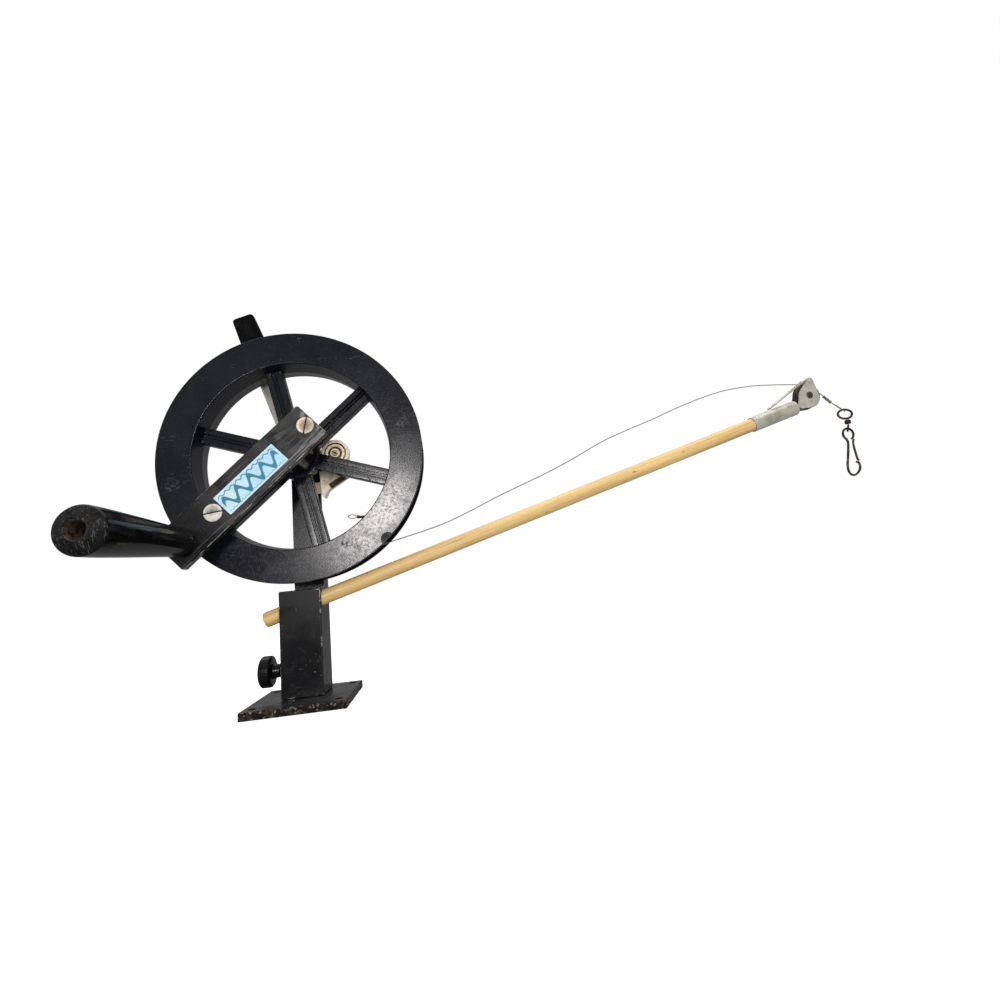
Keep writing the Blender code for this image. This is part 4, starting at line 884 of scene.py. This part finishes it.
def make_boom():
    direction = (boom_point(1.0) - boom_point(0.0)).normalized()
    boom = lathe("boom_dowel", [
        (0.0, 0.0), (0.0078, 0.0), (0.0093, 0.0010), (BOOM_R, 0.0030), (BOOM_R, BOOM_LENGTH),
        (0.0, BOOM_LENGTH),
    ], boom_point(0.0), direction, WOOD, 72, 0.0006)
    fit(boom, "column", "wood", "boom_rod")
    outer, inner, solid = FERRULE_R, BOOM_R + GAP, BOOM_LENGTH - FERRULE_START + GAP
    ferrule = lathe("ferrule_tube", [
        (inner, 0.0), (outer - 0.0002, 0.0), (outer, 0.0004), (outer, 0.0018), (outer - 0.0004, 0.0024),
        (outer - 0.0003, 0.0036), (outer, 0.0042), (outer, 0.0610), (outer - 0.0005, 0.0625),
        (outer - 0.0005, 0.0640), (outer, 0.0655), (outer, 0.0763), (outer - 0.0012, FERRULE_LENGTH),
        (0.0, FERRULE_LENGTH), (0.0, solid), (inner, solid),
    ], boom_point(FERRULE_START), direction, GALVANISED, 72, 0.0003)
    fit(ferrule, "column", "galvanised_steel", "boom_ferrule")


def make_tip():
    neck = boom_point(FERRULE_START + FERRULE_LENGTH + GAP + 0.0072)
    outline = hull([
        (TIP_AXIS.x - 0.0008, TIP_AXIS.z - 0.0022, 0.0172), (TIP_RIVET.x, TIP_RIVET.z, 0.0052),
        (neck.x, neck.z, 0.0066),
    ])
    for side, name in ((-1, "front"), (1, "rear")):
        inside = MID_Y + side * 0.00625
        outside = inside + side * 0.0015
        low, high = min(inside, outside), max(inside, outside)
        cheek = plate(f"tip_cheek_{name}", outline, low, high, (TIP_METAL, TIP_EDGE), ease=0.0005, segments=2)
        second_look_on_edges(cheek, "y")
        carve(cheek, "DIFFERENCE", across_y(TIP_AXIS, low - 0.001, high + 0.001, 0.0033, TIP_EDGE),
              across_y(TIP_RIVET, low - 0.001, high + 0.001, 0.0019, TIP_EDGE))
        foot = boom_point(FERRULE_START + 0.0375, FERRULE_R + 0.0017)
        foot.y = MID_Y + side * 0.0028
        head = Vector((0.7494, (inside + outside) / 2, 0.3790))
        span = head - foot
        rod = [(0.0, 0.0), (0.0013, 0.0), (0.0013, span.length), (0.0, span.length)]
        brace = lathe("tool", rod, foot, span.normalized(), GALVANISED, 24, 0.0003)
        carve(cheek, "UNION", brace)
        fit(cheek, "column", "galvanised_steel", f"tip_plate_{name}")
    half = 0.00775
    axle = lathe("tip_rivet_axle", [
        (0.0, -half - 0.0014), (0.0010, -half - 0.0014), (0.0014, -half - 0.0006), (0.0024, -half - 0.0006),
        (0.0028, -half - 0.0015), (0.0038, -half - 0.0014), (0.0052, -half - 0.0007),
        (0.0052, -half - GAP), (0.0030, -half - GAP), (0.0030, half + GAP),
        (0.0052, half + GAP), (0.0052, half + 0.0009), (0.0040, half + 0.0015), (0.0, half + 0.0015),
    ], TIP_AXIS, Y_AXIS, TIP_EDGE, 48, 0.0003)
    fit(axle, "column", "zinc_steel", "tip_axle")
    rivet = lathe("tip_top_rivet", [
        (0.0, -half - 0.0011), (0.0020, -half - 0.0010), (0.0030, -half - 0.0006), (0.0030, -half - GAP),
        (0.0016, -half - GAP), (0.0016, half + GAP), (0.0030, half + GAP), (0.0030, half + 0.0006),
        (0.0020, half + 0.0010), (0.0, half + 0.0011),
    ], TIP_RIVET, Y_AXIS, GALVANISED, 40, 0.0002)
    fit(rivet, "column", "zinc_steel", "tip_spacer")
    wide = 0.00525
    sheave = lathe("tip_sheave", [
        (0.0033, -wide), (0.0060, -wide), (0.0064, -wide + 0.0004), (0.0140, -wide + 0.0004), (0.0144, -wide),
        (0.0190, -wide), (0.0190, -wide + 0.0012), (0.0179, -0.0022), (0.0173, -0.0011), (0.0172, 0.0),
        (0.0173, 0.0011), (0.0179, 0.0022), (0.0190, wide - 0.0012), (0.0190, wide), (0.0033, wide),
    ], TIP_AXIS, Y_AXIS, FIBRE, 96, 0.0003)
    fit(sheave, "pulley", "fibre", "tip_pulley")


# --- reel

def polar(radius, degrees, y=0.0):
    angle = math.radians(degrees)
    return Vector((radius * math.cos(angle), y, REEL_AXIS.z + radius * math.sin(angle)))


def spoke_outline(width, depth):
    """Half a spoke's section, with two grooves and a rib on its face and softened outer edges."""
    edge, groove, rib, cut_depth, soft = width / 2, 0.0030, 0.0010, 0.0034, 0.0010
    right = [
        (edge, 0.0), (edge, depth - soft), (edge - soft * 0.3, depth - soft * 0.3), (edge - soft, depth),
        (groove + 0.0003, depth), (groove, depth - 0.0003), (groove, depth - cut_depth),
        (rib, depth - cut_depth), (rib, depth - 0.0011), (rib - 0.0003, depth - 0.0008),
    ]
    return right + [(-x, y) for x, y in right[::-1]]


def make_reel_half(name, node, side, rim, boss, extra=()):
    half = lathe(name, rim, REEL_AXIS, Y_AXIS, PLASTIC, 256, 0.0007)
    face = MID_Y + side * (GAP / 2 + 0.00005)
    depth = abs(SPOKE_FRONT_Y - MID_Y) - GAP / 2 - 0.00005
    tools = []
    for degrees in SPOKE_ANGLES:
        out = (polar(1.0, degrees) - polar(0.0, degrees)).normalized()
        toward = Vector((0.0, side, 0.0))
        across = toward.cross(out)
        middle = polar((0.020 + DRUM_OUTER_R - 0.0015) / 2, degrees, face)
        frame_there = Matrix.Translation(middle) @ Matrix((across, toward, -out)).transposed().to_4x4()
        outline = spoke_outline(SPOKE_WIDTH, depth)
        tools.append(slab("tool", outline, frame_there, DRUM_OUTER_R - 0.0215, (PLASTIC,), ease=0.0))
    reach = MID_Y + side * (abs(SPOKE_FRONT_Y - MID_Y) + 0.00005)
    hub_face = face + side * 0.00005
    hub = [(0.0, hub_face), (0.030, hub_face), (0.030, reach - side * 0.0006), (0.0294, reach), (0.0, reach)]
    tools.append(lathe("tool", hub, REEL_AXIS, Y_AXIS, PLASTIC, 128, 0.0))
    boss_r, boss_end = boss
    root = (hub_face + reach) / 2
    nose = [(0.0, root), (boss_r, root), (boss_r, boss_end - side * 0.0008), (boss_r - 0.0008, boss_end),
            (0.0, boss_end)]
    tools.append(lathe("tool", nose, REEL_AXIS, Y_AXIS, PLASTIC, 128, 0.0))
    carve(half, "UNION", *tools)
    # The axle and screw holes get near-black walls: painted shade.
    holes = [across_y(REEL_AXIS, -0.07, 0.04, 0.0084)]
    holes += [across_y(arm_point(at), -0.03, 0.03, SCREW_HOLE_R, steps=32) for at in ARM_SCREWS]
    carve(half, "DIFFERENCE", *holes, *extra)
    return fit(half, "reel", "black_plastic", node)


def make_reel():
    front, rear = -0.0273, 0.0220
    mid_front, mid_rear = MID_Y - GAP / 2, MID_Y + GAP / 2
    front_rim = [
        (REEL_R, front), (REEL_R, front + FLANGE_THICK), (DRUM_OUTER_R, front + FLANGE_THICK),
        (DRUM_OUTER_R, mid_front), (DRUM_INNER_R, mid_front), (LIP_R, front + 0.0008),
        (LIP_R + 0.0008, front),
    ]
    rear_rim = [
        (REEL_R, rear), (LIP_R + 0.0008, rear), (LIP_R + 0.0004, rear - 0.0008), (DRUM_INNER_R, mid_rear),
        (DRUM_OUTER_R, mid_rear), (DRUM_OUTER_R, rear - FLANGE_THICK), (REEL_R, rear - FLANGE_THICK),
    ]
    start, end = Vector((0.0730, -0.0085, 0.2247)), Vector((0.0852, -0.0085, 0.2233))
    # The recess for the arm and the anchor's hole get near-black walls: painted shade.
    extra = [
        across_y(REEL_AXIS, ARM_BACK_Y - 0.002, ARM_BACK_Y + 0.010, 0.0135),
        across_y(polar(REEL_R, -46.7), -0.03, front + 0.0005, 0.0086, PLASTIC),
        drum(start, end + (end - start) * 0.6, 0.0024),
    ]
    make_reel_half("reel_front", "reel_front_half", -1, front_rim, (0.024, ARM_BACK_Y + GAP), extra)
    make_reel_half("reel_rear", "reel_rear_half", 1, rear_rim, (0.0263, 0.0197))
    low, high = front + FLANGE_THICK + GAP, rear - FLANGE_THICK - GAP
    turns, top, root = 26, 0.1453, DRUM_OUTER_R + GAP
    pitch = (high - low) / turns
    profile = [(root, low), (top - 0.0009, low)]
    for k in range(turns):
        for j in range(1, 6):
            angle = math.pi * j / 6
            profile.append((top - pitch / 2 * (1 - math.sin(angle)),
                            low + pitch * (k + 0.5 - 0.5 * math.cos(angle))))
    profile += [(top - 0.0009, high), (root, high)]
    winding = lathe("winding_turns", profile, REEL_AXIS, Y_AXIS, STRAND, 180, 0.0)
    fit(winding, "reel", "cable_wire", "line_winding")
    along = (end - start).normalized()
    sleeve = lathe("anchor_crimp", [
        (0.0, 0.0), (0.0016, 0.0), (0.0021, 0.0006), (0.0021, 0.0030), (0.0017, 0.0040), (0.0017, 0.0060),
        (0.0021, 0.0070), (0.0021, 0.0118), (0.0016, 0.0122), (0.0, 0.0122),
    ], start, along, RUSTY, 32, 0.0003)
    fit(sleeve, "reel", "rusty_steel", "anchor_sleeve")
    base, up = start - along * 0.0005, Vector((0.0, 0.0010, 0.0024))
    loop = eye_points(base, -along, up, [(0.0, 0.3), (0.0035, 1.0), (0.0075, 0.9)], 0.0105)
    fit(wire("anchor_eye", smooth_path(loop, 0.0008), 0.00055, STRAND), "reel", "cable_wire", "anchor_loop")


# --- crank and handle

def slotted_head(name, node, place, look, tilt):
    """A big flat-headed screw, with a nut on its far end as a separate CAD node."""
    head = ARM_FRONT_Y - 0.0006
    screw = lathe(name, [
        (0.0, head), (0.0098, head), (0.0104, head + 0.0003), (0.0106, head + 0.0009),
        (0.0106, ARM_FRONT_Y + 0.0039), (0.0040, ARM_FRONT_Y + 0.0039), (0.0040, 0.0134), (0.0, 0.0134),
    ], place, Y_AXIS, look, 80, 0.0003)
    middle, turn = place + Y_AXIS * head, math.radians(tilt)
    # The slot's walls take the near-black tool look: painted shade in the slot.
    carve(screw, "DIFFERENCE", cutter(
        (-0.0120, -0.001, -0.00065), (0.0120, 0.0020, 0.00065), middle, turn, SLOT_SHADE_BLACK))
    fit(screw, "reel", "brass" if look is SCREW_BRASS else "zinc_steel", node)


def bar_outline(start, end, low, high, soft, steps):
    """A bar that lies along the crank arm, with rounded corners."""
    left, right, bottom, top = start + soft, end - soft, low + soft, high - soft
    outline = []
    for k, corner in enumerate([(right, top), (left, top), (left, bottom), (right, bottom)]):
        outline += arc(corner, soft, 90 * k, 90 * k + 90, steps)
    return [tuple(arm_point(at, across).xz) for at, across in outline]


def make_crank():
    half = 0.0503 / 2
    # Its rounded edges take the rubbed-edge look: wear and a painted highlight.
    arm = plate(
        "arm_bar", bar_outline(-0.047, 0.177, -half, half, 0.003, 9), ARM_FRONT_Y, ARM_BACK_Y,
        (ARM_PAINT, ARM_EDGE), sharp=40.0)
    front, back = ARM_FRONT_Y - 0.001, ARM_BACK_Y + 0.001
    # The handle and screw holes and the counterbores get near-black walls: painted shade.
    tools = [across_y(arm_point(HANDLE_AT), front, back, 0.0053, steps=40)]
    for at in ARM_SCREWS:
        tools.append(across_y(arm_point(at), front, back, SCREW_HOLE_R, steps=40))
        tools.append(across_y(arm_point(at), front, ARM_FRONT_Y + 0.0042, 0.0109))
    carve(arm, "DIFFERENCE", *tools)
    fit(arm, "reel", "black_paint", "crank_arm")
    slotted_head("screw_inner", "arm_screw_inner", arm_point(ARM_SCREWS[0]), SCREW_BRASS, 78)
    slotted_head("screw_outer", "arm_screw_outer", arm_point(ARM_SCREWS[1]), SCREW_STEEL, 8)
    label = plate(
        "label", bar_outline(0.0077, 0.0980, -0.0116, 0.0168, 0.001, 5), ARM_FRONT_Y - GAP - 0.0005,
        ARM_FRONT_Y - GAP, (LABEL,), ease=0.0001, segments=1, sharp=40.0)
    fit(label, "reel", "label_vinyl", "label_plate")


def make_handle():
    place = arm_point(HANDLE_AT)
    end, floor, top = -0.2440, -0.2040, ARM_FRONT_Y - 2 * GAP - 0.0015
    grip = lathe("grip_turned", [
        (0.0100, end), (0.0212, end + 0.0062), (0.0220, end + 0.0080), (0.0219, end + 0.0250),
        (0.0216, end + 0.0370), (0.0205, end + 0.0670), (0.0191, end + 0.1020),
        (0.0178, end + 0.1320), (0.0166, top - 0.0120), (0.0164, top - 0.0080), (0.0160, top - 0.0030),
        (0.0145, top), (0.0053, top), (0.0053, floor), (0.0086, floor), (0.0086, end + 0.0008), (0.0094, end),
    ], place, Y_AXIS, GLOSS, 128, 0.0006, (BORE, GRIP_END))
    for face in grip.data.polygons:
        off = face.center - place
        if math.hypot(off.x, off.z) < 0.0090 and face.center.y < floor + 0.001:
            face.material_index = 1
        elif face.center.y < end + 0.0070:
            face.material_index = 2
    fit(grip, "grip", "gloss_black", "handle_grip")


# --- lever and counter

def make_lever():
    def spot(distance, offset):
        return tuple(slanted(REEL_AXIS, LEVER_ANGLE, distance, offset).xz)

    half, end, low, high = 0.015, 0.2275, 0.0243, 0.0273
    strip = [spot(*point) for point in arc((0.0, 0.0), 0.0175, 121, 239, 24)]
    strip += [spot(0.020, -half), spot(end - 0.003, -half + 0.0020), spot(end, -half + 0.0050),
              spot(end, half - 0.0050), spot(end - 0.003, half - 0.0020), spot(0.020, half)]
    lever = plate("lever_strip", strip, low, high, (LEVER,), ease=0.0005, segments=2)
    carve(lever, "DIFFERENCE", across_y(REEL_AXIS, low - 0.001, high + 0.001, 0.00665))
    fit(lever, "lever", "aluminium", "brake_lever")
    wide, narrow, tip, start = 0.0172, 0.0148, 0.2310, 0.165
    outline = [spot(start + 0.0010, wide), spot(start, wide - 0.0010), spot(start, -wide + 0.0010),
               spot(start + 0.0010, -wide)]
    for sign, first in ((-1, -90), (1, 0)):
        corner = (tip - 0.005, sign * (narrow - 0.005))
        outline += [spot(*point) for point in arc(corner, 0.005, first, first + 90, 9)]
    sleeve = plate(
        "lever_sleeve", outline, low - 0.0022, high + 0.0022, (VINYL,), ease=0.0016, segments=4, sharp=60.0)
    pocket = [
        spot(start - 0.01, -half - GAP), spot(end - 0.003, -half + 0.0017), spot(end + GAP, -half + 0.0050),
        spot(end + GAP, half - 0.0050), spot(end - 0.003, half - 0.0017), spot(start - 0.01, half + GAP),
    ]
    carve(sleeve, "DIFFERENCE", plate("tool", pocket, low - GAP, high + GAP, (VINYL,), ease=0.0))
    fit(sleeve, "lever", "black_vinyl", "lever_cap")


def make_counter():
    outline = [
        (0.0205, 0.3180), (0.0235, 0.2625), (0.0272, 0.2580), (0.0330, 0.2690), (0.0605, 0.2862),
        (0.0612, 0.3050), (0.0600, 0.3240), (0.0520, 0.3315), (0.0380, 0.3315), (0.0290, 0.3270),
    ]
    inner = [
        (0.0223, 0.3175), (0.0246, 0.2790), (0.0280, 0.2790), (0.0330, 0.2810), (0.0580, 0.2955),
        (0.0594, 0.3050), (0.0583, 0.3230), (0.0513, 0.3297), (0.0385, 0.3297), (0.0302, 0.3257),
    ]
    low, high = 0.0200, 0.0322
    case = plate("counter_housing", outline, low, high, (CREAM,))
    window_low, window_high = Vector((0.0355, 0.0, 0.2706)), Vector((0.0580, 0.0, 0.2847))
    lean = math.atan2(window_high.z - window_low.z, window_high.x - window_low.x)
    middle = (window_low + window_high) / 2 + Y_AXIS * (low + 0.0030)
    # The recessed band's walls take the dark brown: painted shade under the case's slanted edge.
    window = cutter((-0.0125, -0.0040, -0.0012), (0.0120, 0.0040, 0.0060), middle, lean, COUNTER_SHADE_AND_GRIME)
    # The case's hollow inside also takes the dark brown, and the shaft hole the near-black slot look: painted
    # shade in both.
    carve(case, "DIFFERENCE", plate("tool", inner, low + 0.0018, high + 0.002, (COUNTER_SHADE_AND_GRIME,), ease=0.0),
          across_y(COUNTER_AXIS, low - 0.001, low + 0.0028, 0.0031), window)
    fit(case, "column", "cream_plastic", "counter_case")
    low, high, rim = 0.0120, 0.0196, 0.0189
    wheel = lathe("counter_roller", [
        (0.0031, low + 0.0002), (0.0058, low + 0.0002), (0.0062, low + 0.0006), (0.0064, low + 0.0026),
        (0.0086, low + 0.0026), (0.0092, low + 0.0010), (0.0098, low + 0.0008), (0.0128, low + 0.0010),
        (0.0132, low + 0.0022), (0.0140, low + 0.0022), (0.0144, low + 0.0004), (0.0150, low),
        (rim - 0.0005, low), (rim, low + 0.0005), (rim, high - 0.0005), (rim - 0.0005, high), (0.0031, high),
    ], COUNTER_AXIS, Y_AXIS, CREAM, 96, 0.0002, (COUNTER_SHADE_AND_GRIME,))
    # The groove faces take the dark brown: painted shade in the grooves, with some dirt.
    for face in wheel.data.polygons:
        off = face.center - COUNTER_AXIS
        radius = math.hypot(off.x, off.z)
        if face.center.y > low + 0.0008 and (0.0061 < radius < 0.0093 or 0.0127 < radius < 0.0145):
            face.material_index = 1
    fit(wheel, "counter_drive", "cream_plastic", "counter_wheel")
    shaft = lathe("counter_spindle", [
        (0.0, low - 0.0008), (0.0022, low - 0.0010), (0.0038, low - 0.0009), (0.0042, low - 0.0005),
        (0.0042, low - GAP), (0.0028, low - GAP), (0.0028, 0.0319), (0.0, 0.0319),
    ], COUNTER_AXIS, Y_AXIS, SCREW_BRASS, 40, 0.0002)
    # The slot's walls take the near-black tool look: painted shade in the slot.
    carve(shaft, "DIFFERENCE", cutter(
        (-0.0050, -0.002, -0.0005), (0.0050, -0.0006, 0.0005), COUNTER_AXIS + Y_AXIS * low, -0.6, SLOT_SHADE_BLACK))
    fit(shaft, "counter_drive", "zinc_steel", "counter_shaft")


# The CAD nodes that stay shown: slot, finish, softened edge and names
PLAIN_NODES = (
    ("black_paint", POST_PAINT, 0.0006, "post_bar post_channel"),
    ("zinc_steel", STEEL, 0.0005, "base_spigot"),
    ("zinc_steel", STEEL, 0.0004, "post_bolt_1 post_bolt_2 post_nut_1 post_nut_2"),
    ("zinc_steel", STEEL, 0.0004, "axle_bolt axle_nut axle_spacer"),
    ("zinc_steel", STEEL, 0.0003, "arm_spacer_inner arm_spacer_outer arm_nut_inner arm_nut_outer"),
    ("zinc_steel", STEEL, 0.0003, "lock_nut handle_nut"),
    ("zinc_steel", STEEL, 0.0002, "handle_washer"),
    ("zinc_steel", STEEL, 0.0, "lock_screw"),
    ("zinc_steel", RUSTY, 0.0002, "counter_screw"),
    ("rusty_steel", RUSTY, 0.0003, "handle_spindle"),
    ("bronze", BRONZE, 0.0004, "hub_bush_front hub_bush_rear"),
    ("fibre", FIBRE, 0.0004, "brake_disc"),
    ("cream_plastic", CREAM, 0.0, "counter_back"),
    ("black_plastic", KNOB_BLACK, 0.0002, "digit_wheel_units digit_wheel_tens digit_wheel_hundreds"),
)

make_base()
make_column()
make_boom()
make_tip()
make_reel()
make_crank()
make_handle()
make_lever()
make_counter()
for slot, look, ease, names in PLAIN_NODES:
    for node in names.split():
        dress(node, look, ease)


# --- floor, world and lights

WORLD_SEEN = 1.0  # the plain background that the camera sees
WORLD_FILL = 0.62  # soft light from all round
WORLD_MIRROR = 0.25  # what glossy surfaces reflect of it


def make_stage():
    floor_look = Look("floor", (0.86, 0.86, 0.85), 0.9)
    floor_look.spots(3.0, 3.0, 0.35, 0.7, (0.885, 0.885, 0.88))
    floor_look.set("Emission Color", (1.0, 1.0, 1.0, 1.0))
    floor_look.set("Emission Strength", 0.52)
    floor = slab("floor", arc((0.0, 0.0), 14.0, 0, 355, 72), Matrix.Translation((0, 0, -0.0052)), 0.01,
                 (floor_look.made,), ease=0.0)
    floor.visible_diffuse = floor.visible_glossy = floor.visible_shadow = False
    world = bpy.data.worlds.new("studio")
    world.use_nodes = True
    tree = world.node_tree
    path = tree.nodes.new("ShaderNodeLightPath")
    strength = WORLD_FILL
    for ray, level in (("Is Glossy Ray", WORLD_MIRROR), ("Is Camera Ray", WORLD_SEEN)):
        switch = tree.nodes.new("ShaderNodeMapRange")
        tree.links.new(path.outputs[ray], switch.inputs["Value"])
        feed(tree, switch.inputs["To Min"], strength)
        feed(tree, switch.inputs["To Max"], level)
        strength = switch.outputs["Result"]
    tree.links.new(strength, tree.nodes["Background"].inputs["Strength"])
    tree.nodes["Background"].inputs["Color"].default_value = (1.0, 1.0, 1.0, 1.0)
    SCENE.world = world


def area_light(name, place, target, size, power, color=(1.0, 1.0, 1.0), turn=0.0):
    data = bpy.data.lights.new(name, "AREA")
    data.shape = "RECTANGLE"
    data.size, data.size_y = size
    data.energy = power
    data.color = color
    light = add(name, data)
    light.location = place
    aim = (Vector(target) - Vector(place)).to_track_quat("-Z", "Y").to_matrix()
    light.rotation_euler = (aim @ Matrix.Rotation(math.radians(turn), 3, "Z")).to_euler()
    return light


make_stage()
flash = area_light(
    "flash", (-0.072, -1.50, 0.384), (0.107, 0.0, 0.225), (0.40, 0.15), 8.0, (1.0, 0.965, 0.955), 50.0)
flash.visible_diffuse = False
front = area_light("front_fill", (0.6, -2.2, 0.9), (0.1, 0.0, 0.25), (1.2, 1.2), 32.0)
front.visible_glossy = False
area_light("overhead", (0.3, 0.6, 4.0), (0.3, 0.4, 0.0), (6.0, 6.0), 150.0)
SCENE.view_settings.view_transform = "Standard"
